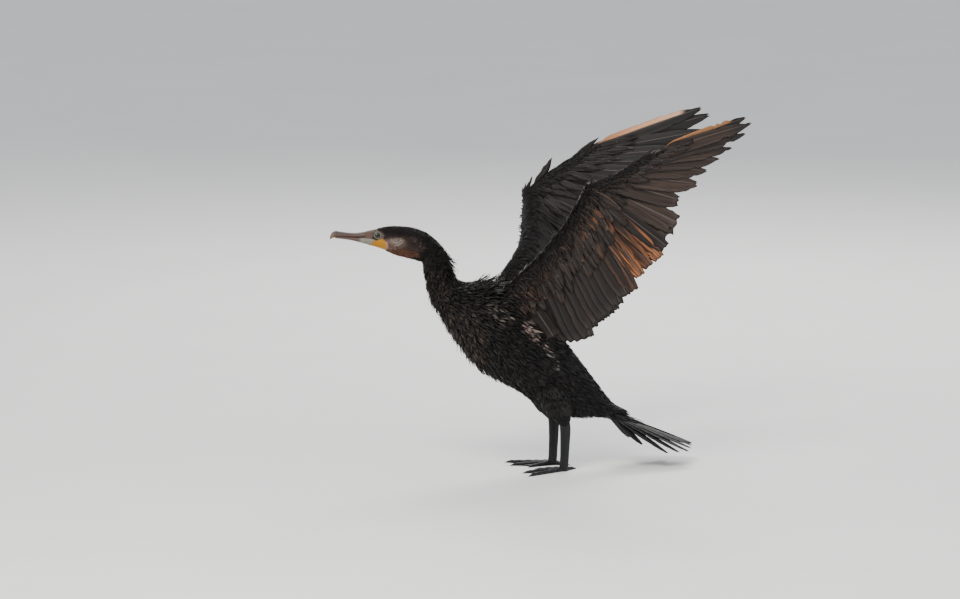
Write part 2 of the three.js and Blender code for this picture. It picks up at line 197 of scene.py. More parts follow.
def meshOf(bm, name):
    for face in bm.faces:
        face.smooth = True
    mesh = bpy.data.meshes.new(name)
    bm.to_mesh(mesh)
    bm.free()
    return mesh


def addPiece(name, mesh, finish, nodes):
    if isinstance(mesh, bmesh.types.BMesh):
        mesh = meshOf(mesh, name)
    piece = linked(name, mesh)
    mesh.materials.append(finish)
    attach(piece, "root")
    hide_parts(*nodes)


def pointVectors(mesh, name, values):
    mesh.attributes.new(name, "FLOAT_VECTOR", "POINT").data.foreach_set("vector", values.ravel())


# Camera, set from the photograph's view of the bird: the pixel where the working origin
# stands, millimetres to a pixel, and the turn and height of the view
view = {"turn": -15.0, "height": 8.0, "originU": 552.0, "originV": 468.0, "mmPerPixel": 1.8,
        "width": 960, "depth": 599, "distance": 12000.0, "sensor": 36.0}


def makeCamera():
    turn, height = math.radians(view["turn"]), math.radians(view["height"])
    right = vec(math.cos(turn), math.sin(turn), 0)
    back = vec(math.sin(turn) * math.cos(height), -math.cos(turn) * math.cos(height), math.sin(height))
    up = np.cross(back, right)
    shiftU = (view["width"] / 2 - view["originU"]) * view["mmPerPixel"]
    shiftV = (view["originV"] - view["depth"] / 2) * view["mmPerPixel"]
    stand = right * shiftU + up * shiftV + back * view["distance"]
    data = bpy.data.cameras.new("camera")
    data.sensor_width = view["sensor"]
    data.lens = view["sensor"] * view["distance"] / (view["width"] * view["mmPerPixel"])
    data.clip_end = 100
    camera = linked("camera", data)
    turnMatrix = Matrix((right, up, back)).transposed().to_4x4()
    camera.matrix_world = Matrix.Translation(Vector(toModel(stand))) @ turnMatrix
    bpy.context.scene.camera = camera


makeCamera()
print("camera ready")

# The body: the same outline as the solids, front to back: the upper and the lower edge
# as x and z, the half width, the depth of the coat, and the feathers' length and width
bodyTable = np.array([
    (-347, 441, -347, 419, 9.5, 0.4, 2.6, 1.1),
    (-322, 446, -315, 408, 15.5, 1.0, 4.0, 1.5),
    (-293, 449, -287, 396, 20.5, 2.0, 6.5, 2.0),
    (-255, 444, -256, 387, 21, 2.8, 9, 2.4),
    (-222, 427, -242, 380, 20, 3.4, 11, 2.8),
    (-193, 394, -237, 358, 21, 4.2, 13, 3.2),
    (-184, 357, -227, 317, 25, 5.0, 16, 4.2),
    (-158, 343, -206, 281, 36, 6.0, 20, 4.6),
    (-110, 338, -177, 237, 53, 7.0, 24, 5.4),
    (-54, 307, -136, 187, 64, 7.5, 27, 6.2),
    (0, 256, -78, 150, 66, 7.5, 29, 6.6),
    (43, 205, -24, 117, 61, 7.5, 30, 6.6),
    (78, 159, 26, 97, 47, 7.0, 30, 6.2),
    (103, 127, 75, 91, 30, 5.0, 28, 6.0),
    (127, 108, 106, 85, 18, 3.0, 24, 7.0),
], float)
bodyLast = len(bodyTable) - 1


def bodyPoint(place, angle, grow=0.0):
    row = curveAt(bodyTable, place)
    flat = np.zeros_like(row[..., 0])
    top = np.stack([row[..., 0], flat, row[..., 1]], -1)
    bottom = np.stack([row[..., 2], flat, row[..., 3]], -1)
    middle = (top + bottom) / 2
    rise = (top - bottom) / 2
    tall = np.linalg.norm(rise, axis=-1, keepdims=True)
    point = middle + rise / tall * (tall + np.expand_dims(grow, -1)) * np.cos(angle)[..., None]
    point[..., 1] += (row[..., 4] + grow) * np.sin(angle)
    return point


def bodyFrame(place, angle, grow):
    # point, way towards the tail, and outward normal
    step = 0.02
    behind = bodyPoint(np.minimum(place + step, bodyLast), angle, grow)
    back = unit(behind - bodyPoint(np.maximum(place - step, 0), angle, grow))
    around = unit(bodyPoint(place, angle + step, grow) - bodyPoint(place, angle - step, grow))
    return bodyPoint(place, angle, grow), back, unit(np.cross(back, around))


# Colours of the head and body by place. A patch is an outline in x and z, how soft its
# edge is, its colour, and the share of the feathers there that take it.
plumage = {
    "dark": (0.0055, 0.0048, 0.0047),
    "brown": (0.027, 0.0185, 0.0145),
    "patches": {
        "crown": ([(-326, 445), (-285, 452), (-240, 436), (-262, 420), (-300, 430), (-316, 437)],
                  4, (0.024, 0.0195, 0.019), 0.9),
        "face": ([(-316, 436), (-262, 432), (-246, 412), (-262, 394), (-282, 392), (-312, 408)],
                 6, (0.092, 0.060, 0.053), 0.95),
        "throat": ([(-312, 410), (-290, 413), (-270, 406), (-256, 396), (-283, 390), (-305, 399)],
                   5, (0.270, 0.120, 0.062), 0.95),
        "cheek": ([(-317, 428), (-288, 431), (-279, 421), (-288, 411), (-309, 408), (-313, 419)],
                  4, (0.36, 0.225, 0.180), 1.0),
        "cheekSpot": ([(-308, 426), (-298, 429.5), (-287, 427), (-285, 419), (-298, 416)],
                      4, (0.60, 0.51, 0.43), 0.85),
        "lores": ([(-349, 442), (-341, 445.5), (-331, 446), (-324, 444.5), (-333, 440), (-334, 432),
                   (-340, 429), (-349, 431)], 1.6, (0.080, 0.042, 0.031), 1.1),
        "billBase": ([(-349, 430), (-336, 429), (-330, 427.5), (-336, 418), (-349, 415)],
                     2.2, (0.20, 0.185, 0.15), 1.1),
        "pouch": ([(-332, 425), (-326, 427), (-318, 428.5), (-310, 420), (-310, 403), (-326, 407),
                   (-339, 416)], 1.6, (0.38, 0.160, 0.002), 1.1),
        "neck": ([(-236, 372), (-205, 366), (-200, 320), (-215, 300), (-240, 322)],
                 8, (0.050, 0.035, 0.027), 0.4),
        "breast": ([(-215, 312), (-160, 300), (-140, 215), (-165, 205), (-205, 262)],
                   10, (0.066, 0.045, 0.033), 0.3),
        "shoulder": ([(-150, 313), (-108, 311), (-98, 288), (-136, 280)],
                     7, (0.135, 0.118, 0.100), 0.35),
        "flank": ([(-84, 289), (-68, 295), (-48, 257), (-57, 248), (-75, 264)],
                  5, (0.24, 0.180, 0.160), 0.6),
        "flankEdge": ([(-58, 268), (-48, 266), (-32, 240), (-41, 238)], 3, (0.20, 0.14, 0.125), 0.3),
        "flankStreak": ([(-44, 243), (-36, 241), (-14, 204), (-21, 200)], 3, (0.25, 0.215, 0.205), 0.4),
        "eyeSkin": ([(-334, 441), (-326, 443.5), (-318, 441), (-316, 435), (-320, 429), (-333, 429),
                     (-336, 435)], 1.0, (0.078, 0.056, 0.043), 1.1),
    },
    "bare": ("lores", "billBase", "pouch"),
    "bareRing": 8.5,          # bare skin round the middle of the eye
}


def outlineFar(points, outline):
    # how far each point is from an outline, less than nothing inside it
    corners = np.array(outline, float)
    flat = points[:, [0, 2]]
    nearest = np.full(len(flat), 1e9)
    inside = np.zeros(len(flat), bool)
    for a, b in zip(corners, np.roll(corners, -1, axis=0)):
        edge = b - a
        share = np.clip((flat - a) @ edge / (edge @ edge), 0, 1)
        nearest = np.minimum(nearest, np.linalg.norm(flat - a - share[:, None] * edge, axis=1))
        crosses = (a[1] > flat[:, 1]) != (b[1] > flat[:, 1])
        inside ^= crosses & (flat[:, 0] < edge[0] * (flat[:, 1] - a[1]) / (edge[1] + 1e-9) + a[0])
    return np.where(inside, -nearest, nearest)


def markings(points, draws):
    # the draws decide which feathers take a patch's colour
    colour = np.tile(vec(*plumage["dark"]), (len(points), 1))
    front = smooth(-120, -330, points[:, 0])
    colour = lerp(colour, vec(*plumage["brown"]), (0.35 * front + 0.3 * draws**2)[:, None])
    for outline, soft, patch, share in plumage["patches"].values():
        weight = smooth(soft, -soft, outlineFar(points, outline)) * smooth(share + 0.25, share - 0.25, draws)
        colour = lerp(colour, vec(*patch), weight[:, None])
    return colour


def speckled(colour, low, high, count):
    # one colour, darker or brighter from feather to feather
    return vec(*colour) * rng.uniform(low, high, count)[:, None]


# Feathers. A template is a thin lens of a grid: along it from 0 to 1, across it from -1 to 1
def featherTemplate(rows, cols):
    bm = bmesh.new()
    bmesh.ops.create_grid(bm, x_segments=rows, y_segments=cols, size=0.5)
    bmesh.ops.translate(bm, verts=bm.verts, vec=(0.5, 0, 0))
    bmesh.ops.scale(bm, verts=bm.verts, vec=(1, 2, 1))
    bmesh.ops.solidify(bm, geom=bm.faces[:], thickness=1)
    rim = [v for v in bm.verts if v.co.x < 1e-4 or v.co.x > 1 - 1e-4 or abs(v.co.y) > 1 - 1e-4]
    low = min(v.co.z for v in bm.verts)
    for v in bm.verts:
        v.co.z -= low + 0.5
    for v in rim:
        v.co.z = 0
    bmesh.ops.remove_doubles(bm, verts=bm.verts, dist=1e-5)
    flat = [f for f in bm.faces if f.calc_area() < 1e-7]
    bmesh.ops.delete(bm, geom=flat, context="FACES_ONLY")
    bmesh.ops.recalc_face_normals(bm, faces=bm.faces)
    verts = np.array([v.co[:] for v in bm.verts])
    faces = [[v.index for v in f.verts] for f in bm.faces]
    under = [f.normal.z < 0 for f in bm.faces]
    bm.free()
    return {"verts": verts, "faces": faces, "under": under}


tuft = featherTemplate(2, 2)
blade = featherTemplate(4, 2)
covert = featherTemplate(7, 4)
quill = featherTemplate(30, 10)
patchSize = 0.003             # of each feather's patch in the bake map

# What a feather is where its table says nothing else
plainFeather = {"length": 20.0, "width": 8.0, "lift": 0.2, "curl": 0.2, "sweep": 0.0, "camber": 0.1,
                "blunt": 0.2, "thick": 0.16, "tilt": 0.0, "uneven": 0.0, "outer": 1.0, "notch": 0.0}


def spots(root, along, up, **given):
    # a table of feathers, one row each
    count = len(root)
    table = {"root": root, "along": unit(along), "uv": given["uv"]}
    for key, value in plainFeather.items():
        table[key] = np.broadcast_to(given.get(key, value), count).astype(float)
    table["seed"] = given.get("seed", rng.random(count))
    for key, value in {"up": up, "tint": (0, 0, 0)}.items():
        table[key] = np.broadcast_to(given.get(key, value), (count, 3)).astype(float)
    table["marking"] = np.broadcast_to(given["marking"], (count, 3))
    return table


def joined(tables):
    return {key: np.concatenate([table[key] for table in tables]) for key in tables[0]}


def bakePlace(u, v):
    return np.stack([u, v], -1) * (1 - patchSize)


def featherPoints(table, verts, flight):
    # the template's points along, across and through each feather of the table
    a, c, h = (verts[:, i][None, :] for i in range(3))
    col = {key: table[key][:, None] for key in [*plainFeather, "seed"]}
    seed, uneven = col["seed"], col["uneven"]
    if flight:
        taper = np.clip(lerp(0.6, 0.84, col["blunt"] / 0.85), 0.6, 0.84)
        tip = np.clip((a - taper) / (1 - taper), 0, 1) ** 1.9
        wide = (0.14 + 0.86 * smooth(0.03, 0.22, a)) * (1 - tip * (1 - col["blunt"]))
        wide = wide * np.where(c * col["outer"] > 0, 0.72, 1.28)
    else:
        tip = np.clip((a - 0.35) / 0.65, 0, 1) ** 2.2
        wide = (0.35 + 0.65 * smooth(0, 0.45, a)) * (1 - tip * (1 - col["blunt"]))
    ragged = np.sin(a * 57 + seed * 40 + c * 3) * 0.6 + np.sin(a * 131 + seed * 91) * 0.4
    wide = wide * (1 + uneven * ragged * np.abs(c))
    for turn in (3.1, 7.7, 12.9):
        gap = 0.66 + 0.3 * ((seed * turn) % 1)
        where = np.sign(c) == np.sign(((seed * turn * 5) % 1) - 0.5)
        wide = wide * (1 - col["notch"] * where * np.exp(-((a - gap) / 0.022) ** 2))
    forward = col["length"] * (a * (1 + uneven * 0.25 * np.sin(c * 7 + seed * 30) * smooth(0.7, 1, a)))
    sideways = col["width"] / 2 * c * wide + col["sweep"] * col["length"] * a**2
    rise = col["length"] * (col["lift"] * a - col["curl"] * a**2) - col["camber"] * col["width"] * c**2
    rise = rise + sideways * col["tilt"] + h * col["thick"] * (1 - 0.6 * a)
    along = table["along"]
    up = square(table["up"], along)
    points = table["root"][:, None, :]
    for far, way in ((forward, along), (sideways, np.cross(up, along)), (rise, up)):
        points = points + far[..., None] * way[:, None, :]
    return points


def plant(name, template, table, finish, nodes, flight=False):
    # all feathers of the table, joined in one mesh
    verts = template["verts"]
    count, size = len(table["root"]), len(verts)
    sizes = np.array([len(f) for f in template["faces"]])
    allSizes = np.tile(sizes, count)
    corners = np.concatenate(template["faces"])
    loops = (corners[None, :] + size * np.arange(count)[:, None]).ravel()
    mesh = bpy.data.meshes.new(name)
    mesh.vertices.add(count * size)
    mesh.vertices.foreach_set("co", toModel(featherPoints(table, verts, flight)).ravel())
    mesh.loops.add(len(loops))
    mesh.loops.foreach_set("vertex_index", loops.astype(np.int32))
    mesh.polygons.add(len(allSizes))
    mesh.polygons.foreach_set("loop_start", (np.cumsum(allSizes) - allSizes).astype(np.int32))
    mesh.polygons.foreach_set("loop_total", allSizes.astype(np.int32))
    mesh.polygons.foreach_set("use_smooth", np.ones(len(allSizes), bool))
    under = np.repeat(np.array(template["under"], float), sizes)
    patch = np.stack([verts[corners, 0] * 0.48 + under * 0.5, (verts[corners, 1] + 1) / 2], -1) * patchSize
    uv = table["uv"][:, None, :] + patch[None, :, :]
    mesh.uv_layers.new(name="OFBake").data.foreach_set("uv", uv.ravel())
    across = verts[:, 1] * table["outer"][:, None]
    vane = np.stack(np.broadcast_arrays(verts[:, 0], across, table["seed"][:, None]), -1)
    pointVectors(mesh, "vane", vane)
    for key in ("tint", "marking"):
        pointVectors(mesh, key, np.repeat(table[key], size, axis=0))
    mesh.update()
    mesh.validate()
    addPiece(name, mesh, finish, nodes)
    print(f"{name}: {count} feathers, {count * sum(sizes - 2)} triangles")


# Finishes of the feathers
vaneColours = {
    # The first two colours are a painted orange glow of sunlight shining through and glinting off the
    # feathers, in dark and bright strands. The tan edge serves real tan fringes and also the rims of those
    # glowing feathers.
    "glowDark": (0.024, 0.0115, 0.0075), "glowAndTan": (0.34, 0.122, 0.041),
    "edge": (0.23, 0.205, 0.195), "tanAndGlowEdge": (0.40, 0.245, 0.17), "worn": (0.009, 0.008, 0.008),
    "webRoot": (0.40, 0.155, 0.05), "webTip": (0.66, 0.40, 0.27), "webTan": (0.34, 0.150, 0.060),
    "webDark": (0.15, 0.07, 0.035), "shaft": (0.15, 0.125, 0.115),
}


def featherFinish(name, gloss, barbs, barbDepth, shaftShare):
    f = Finish(name)
    tones = vaneColours
    along, side, seed = f.split(f.attribute("vane"))
    glowAndTan, pale, web = f.split(f.attribute("tint"))
    grain = f.noise(260.0, 2.0)
    lengthwise = f.node("ShaderNodeCombineXYZ", {}, along * 2.5, side * 7.0, seed * 40.0)
    strands = f.noise(1.0, 3.0, 0.6, lengthwise)
    strand = f.step(strands, 0.4, 0.64)
    streak = (along * barbs - abs(side) * barbs * 0.22 + seed * 9).math("SINE")
    # Brightness of the vane: random tone from feather to feather and strand to strand. On the flight feathers
    # the strong strand contrast also stands for painted streaks of highlight.
    toneAndGlintStreaks = 0.32 + grain * 0.25 + f.step(strands, 0.36, 0.66) * 0.75 + seed * 0.3 + streak * 0.08
    colour = f.dimmed(f.attribute("marking", "Color"), toneAndGlintStreaks)
    # Painted glow: where the first tint is high, the vane takes the orange of sunlight through and off the
    # feather, dark and bright by strands. Lower values of that tint only pick the tan edge below.
    glowColour = f.mix(strand, tones["glowDark"], tones["glowAndTan"])
    colour = f.mix(f.step(glowAndTan, 0.5, 1.0) * f.step(along, 0.35, 0.85), colour, glowColour)
    # Pale rims: real pale fringes on the body and under feathers, tan where the first tint is set; on the
    # upper wing coverts the pale rims are painted glints of light.
    rim = f.step(abs(side), 0.6, 0.95) + f.step(along, 0.86, 1.0)
    edge = f.mix(f.step(glowAndTan, 0.0, 0.4), tones["edge"], tones["tanAndGlowEdge"])
    colour = f.mix(pale * rim * (0.5 + strand * 0.5), colour, edge)
    worn = f.step(web, 0.0, 0.05) * f.step(along, 0.74, 0.92)
    colour = f.mix(worn * 0.75, colour, tones["worn"])
    outer = f.step(side, 0.04, 0.2) * f.step(along, 0.03, 0.1) * (1 - f.step(along, 0.8, 0.88))
    webColour = f.mix(along, tones["webRoot"], tones["webTip"])
    webColour = f.mix(f.step(web, 0.6, 1.0), tones["webTan"], webColour)
    webColour = f.mix(strand * 0.35, webColour, tones["webDark"])
    colour = f.mix(f.step(web, 0.2, 0.5) * outer, colour, webColour)
    shaft = 1 - f.step(abs(side), 0.02, 0.07)
    colour = f.mix(shaft * shaftShare, colour, tones["shaft"])
    height = streak * 0.4 + grain * 0.3 + strands + shaft
    return f.set(Base_Color=colour, Roughness=gloss + grain * 0.25, Specular_IOR_Level=0.25,
                 Normal=f.bump(height, barbDepth))


bodyFinish = featherFinish("damp body feather", 0.38, 60.0, 0.0003, 0.06)
flightFinish = featherFinish("stiff flight feather", 0.42, 240.0, 0.0002, 0.4)


def skinFinish():
    f = Finish("skin under the feathers")
    base = f.attribute("marking", "Color")
    grain = f.noise(900.0, 4.0, 0.6)
    pores = f.node("ShaderNodeTexVoronoi", Vector=f.place(), Scale=1100.0)
    colour = f.mix(grain * 0.5, base, f.dimmed(base, 0.55))
    return f.set(Base_Color=colour, Roughness=0.5 + grain * 0.2, Specular_IOR_Level=0.25,
                 Normal=f.bump(grain + pores * 0.6, 0.0005))


def gridShape(rows, cols, surface, closed=True):
    # a grid bent over a surface that is given as a function of two shares
    bm = bmesh.new()
    bmesh.ops.create_grid(bm, x_segments=rows, y_segments=cols, size=0.5)
    uv = np.array([v.co[:2] for v in bm.verts]) + 0.5
    for v, point in zip(bm.verts, toModel(surface(uv[:, 0], uv[:, 1]))):
        v.co = point
    if closed:
        bmesh.ops.remove_doubles(bm, verts=bm.verts, dist=1e-6)
        bmesh.ops.holes_fill(bm, edges=[e for e in bm.edges if e.is_boundary])
    bmesh.ops.recalc_face_normals(bm, faces=bm.faces)
    return bm


# Wings: the leading edge and the reach of the flight feathers, as in the solids
wingShape = {
    "armPlaces": [0, 0.14, 0.3, 0.47, 0.75, 1],
    "armReach": [(73, -8, -100), (82, 0, -130), (80, 3, -158), (90, 10, -162), (106, 10, -158),
                 (146, -10, -108)],
    "armFrom": 0.22,
    "handPlaces": [0, 0.333, 0.667, 0.889, 1],
    "handReach": [(155, 18, -92), (162, 38, -23), (189, 48, 13), (206, 48, 50), (188, 49, 58)],
    "armChord": [46, 34, 30, 24], "armThick": [17, 11, 8, 6.5],
    "handChord": [24, 22, 16, 11], "handThick": [6.5, 6, 4.8, 4],
    "fleshShare": 0.72,       # how thick the skin is under the coverts, of the solids
}
wings = {
    "left": {"side": -1, "handScale": 1.0,
             "arm": [(-122, -20, 312), (-62, -66, 378), (-16, -135, 459), (8, -192, 534)],
             "hand": [(8, -192, 534), (60, -193, 553), (110, -185, 578), (135, -180, 586)]},
    "right": {"side": 1, "handScale": 1.06,
              "arm": [(-122, 20, 312), (-41, 85, 388), (-12, 150, 435), (5, 210, 474)],
              "hand": [(5, 210, 474), (50, 211, 508), (97, 204, 536), (120, 200, 552)]},
}


def wingStation(wing, part, t):
    # all about a wing at shares along its arm or hand
    t = np.asarray(t, float)
    arm = part == "arm"
    lead = np.array(wing[part], float)
    mirrored = vec(1, 1 if wing["side"] < 0 else -1, 1)
    scale = 1.0 if arm else wing["handScale"]
    keys = np.array(wingShape[part + "Reach"], float) * mirrored * scale
    share = np.clip((t - wingShape["armFrom"]) / (1 - wingShape["armFrom"]), 0, 1) if arm else t
    places = wingShape[part + "Places"]
    reach = trackAt(places, keys, share)
    middle = trackAt(places, keys, 0.5 if arm else 0.35)
    normal = unit(np.cross(lead[3] - lead[1], middle))
    if normal @ (vec(0.4, 0.8, 0.4) * mirrored) < 0:
        normal = -normal
    back = unit(reach)
    sizes = curveAt(np.array([wingShape[part + "Chord"], wingShape[part + "Thick"]]).T, t * 3)
    out = unit(curveAt(lead, t * 3 + 0.05) - curveAt(lead, t * 3 - 0.05))
    return {"start": curveAt(lead, t * 3), "reach": reach, "back": back, "out": out,
            "chord": sizes[..., 0:1], "thick": sizes[..., 1:2],
            "up": square(np.broadcast_to(normal, back.shape), back)}


def wingSurface(wing, part, t, turn):
    s = wingStation(wing, part, t)
    share = (0.5 + 0.5 * np.cos(turn))[..., None]
    height = np.sin(turn)[..., None] * s["thick"] * (0.4 + 0.6 * share) * wingShape["fleshShare"]
    return s["start"] + s["back"] * share * s["chord"] * 0.94 + s["up"] * height


# Thighs, in sections down the leg: middle, half across and half deep
legHalfSpan, legX = 38.0, 13.0
thighTable = np.array([
    (-14, 26, 190, 26, 30), (-8, 31, 150, 30, 36), (-1, 35, 118, 25, 29),
    (6, 37, 98, 17, 19), (11, 38, 86, 9, 10), (13, 38, 80, 6.5, 7),
], float)
thighLast = len(thighTable) - 1
thighDepth = 4.0              # of the coat at the top


def thighPoint(side, place, turn, grow=0.0):
    row = curveAt(thighTable, place)
    point = row[..., :3] * vec(1, side, 1)
    point[..., 0] += (row[..., 4] + grow) * np.cos(turn)
    point[..., 1] += (row[..., 3] + grow) * np.sin(turn)
    return point


# The skin, in one mesh: body, thighs and wings joined. The head has more rows than the rest.
skinLook = {"bodyGrid": (190, 84), "thighGrid": (24, 28), "wingGrid": (30, 16), "headRows": 0.4,
            "headPlaces": 3.5, "draw": 0.12}
eye = {"x": -326.0, "z": 435.0, "out": 9.6, "radius": 6.0, "iris": 4.7, "pupil": 2.9, "ring": 5.7,
       "ringThick": 0.95, "beads": 22, "ballGrid": (48, 32), "ringGrid": (132, 12)}


def coatDepth(place):
    return curveAt(bodyTable[:, 5:6], place)[..., 0]


def eyeFar(points):
    return np.hypot(points[:, 0] - eye["x"], points[:, 2] - eye["z"])


def skinSurface(u, v):
    share, head = skinLook["headRows"], skinLook["headPlaces"]
    place = np.where(u < share, u / share * head, head + (u - share) / (1 - share) * (bodyLast - head))
    point = bodyPoint(place, v * fullTurn, -coatDepth(place))
    # a shallow hollow round each eye, a brow over it, and the crease behind the gape
    far = eyeFar(point)
    inward = -np.sign(point[:, 1]) * (1.6 * smooth(11, 5, far) - 0.5 * np.exp(-((far - 11) / 2.5) ** 2))
    crease = np.abs(point[:, 2] - (429.5 - 0.12 * (point[:, 0] + 347)))
    inward -= np.sign(point[:, 1]) * 1.1 * smooth(1.6, 0.2, crease) * smooth(-308, -316, point[:, 0])
    point[:, 1] += inward * smooth(3, 8, np.abs(point[:, 1]))
    return point


def makeSkin():
    shells = [gridShape(*skinLook["bodyGrid"], skinSurface)]
    for side in (-1, 1):
        shells.append(gridShape(*skinLook["thighGrid"], lambda u, v: thighPoint(
            side, u * thighLast, v * fullTurn, -thighDepth * (1 - u))))
    for wing in wings.values():
        for part in ("arm", "hand"):
            shells.append(gridShape(*skinLook["wingGrid"], lambda u, v: wingSurface(
                wing, part, u, v * fullTurn)))
    objects = [linked("shell", meshOf(bm, "shell")) for bm in shells]
    body = objects[0]
    for other in objects[1:]:
        union = body.modifiers.new("join", "BOOLEAN")
        union.operation = "UNION"
        union.solver = "EXACT"
        union.object = other
    bpy.context.view_layer.update()
    mesh = bpy.data.meshes.new_from_object(body.evaluated_get(bpy.context.evaluated_depsgraph_get()))
    for piece in objects:
        bpy.data.objects.remove(piece)
    mesh.polygons.foreach_set("use_smooth", np.ones(len(mesh.polygons), bool))
    places = np.empty(len(mesh.vertices) * 3)
    mesh.vertices.foreach_get("co", places)
    worked = places.reshape(-1, 3) * 1000 - origin
    pointVectors(mesh, "marking", markings(worked, np.full(len(worked), skinLook["draw"])))
    nodes = ["head", "neck", "torso", "thigh_left", "thigh_right"]
    nodes += [f"wing_{side}_{part}" for side in wings for part in ("arm", "hand")]
    addPiece("skin", mesh, skinFinish(), nodes)
    print("skin joined,", len(mesh.polygons), "faces")


makeSkin()

# The coat of the head, neck and body. Places along the body are rows of its table.
coatLook = {
    "alongGap": 0.27, "acrossGap": 0.5, "ruffle": 0.1,
    "thin": 1,
    "sleekFrom": (8.0, 10.0), "clumpFrom": (3.4, 5.0),
    "nape": (4.6, 5.2, 6.0, 6.6), "back": (6.6, 7.2, 8.2, 9.0), "breast": (5.6, 6.4, 8.0, 9.0),
}


def bareFace(point):
    bare = eyeFar(point) < plumage["bareRing"]
    for name in plumage["bare"]:
        bare |= outlineFar(point, plumage["patches"][name][0]) < 0.5
    return bare


def coatPlaces(first, last):
    # rows of roots round the body, as close as the feathers there are short and narrow
    places, angles = [], []
    place, row, thin = first, 0, coatLook["thin"]
    while place < last:
        values = curveAt(bodyTable, np.array([place]))[0]
        length, width = values[6], values[7]
        around = fullTurn * math.sqrt((values[4] ** 2 + ((values[1] - values[3]) / 2) ** 2) / 2)
        count = max(8, int(around / (width * coatLook["acrossGap"] * thin)))
        ring = (np.arange(count) + 0.5 * (row % 2) + rng.uniform(-0.35, 0.35, count)) / count * fullTurn
        ahead = bodyPoint(np.array([place, place + 0.05]), np.array([math.pi / 2] * 2))
        perSection = np.linalg.norm(ahead[1] - ahead[0]) / 0.05
        step = length * coatLook["alongGap"] * thin / perSection
        places.append(place + rng.uniform(-0.4, 0.4, count) * step)
        angles.append(ring)
        place += step
        row += 1
    return np.clip(np.concatenate(places), 0, bodyLast), np.concatenate(angles)


def bodyCoat(name, first, last, template):
    place, angle = coatPlaces(first, last)
    if name == "coat_head":
        kept = ~bareFace(bodyPoint(place, angle))
        place, angle = place[kept], angle[kept]
    depth = coatDepth(place)
    root, back, normal = bodyFrame(place, angle, -depth - 0.3)
    values = curveAt(bodyTable, place)
    count = len(place)
    draws, second = rng.random(count), rng.random(count)
    length = values[:, 6] * rng.uniform(0.8, 1.25, count)
    # wet feathers draw together in clumps, and stand up on the nape, back and breast
    clump = 0.2 * np.sin(place * 13 + angle * 5) + 0.2 * np.sin(place * 23 - angle * 12 + 2)
    sleek = 1 - 0.65 * smooth(*coatLook["sleekFrom"], place)
    clump *= smooth(*coatLook["clumpFrom"], place) * sleek
    aside = clump + rng.normal(0, coatLook["ruffle"], count) * sleek
    along = unit(back + np.cross(normal, back) * aside[:, None])
    upper = smooth(1.2, 0.3, np.abs(angle - fullTurn * (angle > math.pi)))
    stand = 0.85 * upper * between(place, *coatLook["nape"]) + 0.8 * upper * between(place, *coatLook["back"])
    length = length * (1 + 0.35 * smooth(0.2, 0.6, stand))
    stand += 0.25 * smooth(2.2, 3.0, angle) * between(place, *coatLook["breast"])
    lift = (depth + 0.3) / length * 1.2 + rng.normal(0.02, coatLook["ruffle"] * 0.6, count) * sleek
    lift = np.clip(lift + stand * rng.random(count) ** 1.5 + 0.12 * np.abs(clump), 0.02, 0.9)
    mottle = rng.uniform(-1, 1, count) * lerp(0.7, 0.35, smooth(3, 4, place))
    table = spots(root, along, normal, length=length, width=values[:, 7] * rng.uniform(0.65, 1.05, count),
                  lift=lift, curl=lift * rng.uniform(0.1, 0.4, count), sweep=rng.normal(0, 0.08, count),
                  camber=0.12, blunt=0.12, uneven=0.12, seed=second,
                  marking=markings(bodyPoint(place, angle), draws) * (1 + mottle)[:, None],
                  uv=bakePlace(place / bodyLast, (angle / fullTurn) % 1),
                  tint=np.outer(draws > 0.6, vec(0, 0.22, 0)))
    plant(name, template, table, bodyFinish, ["head", "neck", "torso"])


bodyCoat("coat_head", 0.15, 3.4, tuft)
bodyCoat("coat_neck", 3.3, 7.0, tuft)
bodyCoat("coat_breast", 6.9, 10.2, blade)
bodyCoat("coat_rump", 10.1, 13.9, blade)


# The coat of a thigh: where its rows begin and end, their gap, and at the top and the
# bottom how many feathers stand around it, their length and their width
thighLook = {"rows": (0.6, 4.92), "gap": 0.11, "around": (54, 16),
             "long": (24, 14), "wide": (8, 4)}


def thighCoat(side):
    places, turns = [], []
    for row, place in enumerate(np.arange(*thighLook["rows"], thighLook["gap"])):
        count = int(lerp(*thighLook["around"], place / thighLast))
        places.append(np.full(count, place) + rng.uniform(-0.05, 0.05, count))
        turns.append((np.arange(count) + 0.5 * (row % 2)) / count * fullTurn)
    place, turn = np.concatenate(places), np.concatenate(turns)
    count, share = len(place), place / thighLast
    depth = thighDepth * (1 - share)
    root = thighPoint(side, place, turn, -depth - 0.4)
    below = thighPoint(side, np.minimum(place + 0.05, thighLast), turn)
    down = unit(below - thighPoint(side, place - 0.05, turn))
    around = unit(thighPoint(side, place, turn + 0.05) - thighPoint(side, place, turn - 0.05))
    normal = unit(np.cross(down, around))
    outward = root - curveAt(thighTable, place)[:, :3] * vec(1, side, 1)
    normal *= np.sign(np.sum(normal * outward, -1, keepdims=True))
    length = lerp(*thighLook["long"], share) * rng.uniform(0.75, 1.2, count)
    draws = rng.random(count)
    along = down + np.cross(normal, down) * rng.normal(0, 0.12, count)[:, None]
    return spots(root, along, normal, length=length, width=lerp(*thighLook["wide"], share),
                 lift=np.clip((depth + 0.6) / length, 0.05, 0.5), curl=0.15, blunt=0.12, uneven=0.1,
                 uv=bakePlace(share * 0.4 + (0.5 if side > 0 else 0), turn / fullTurn),
                 marking=markings(root, draws) * rng.uniform(0.7, 1.2, count)[:, None])


plant("coat_thighs", blade, joined([thighCoat(-1), thighCoat(1)]), bodyFinish,
      ["thigh_left", "thigh_right"])
print("body coat planted")

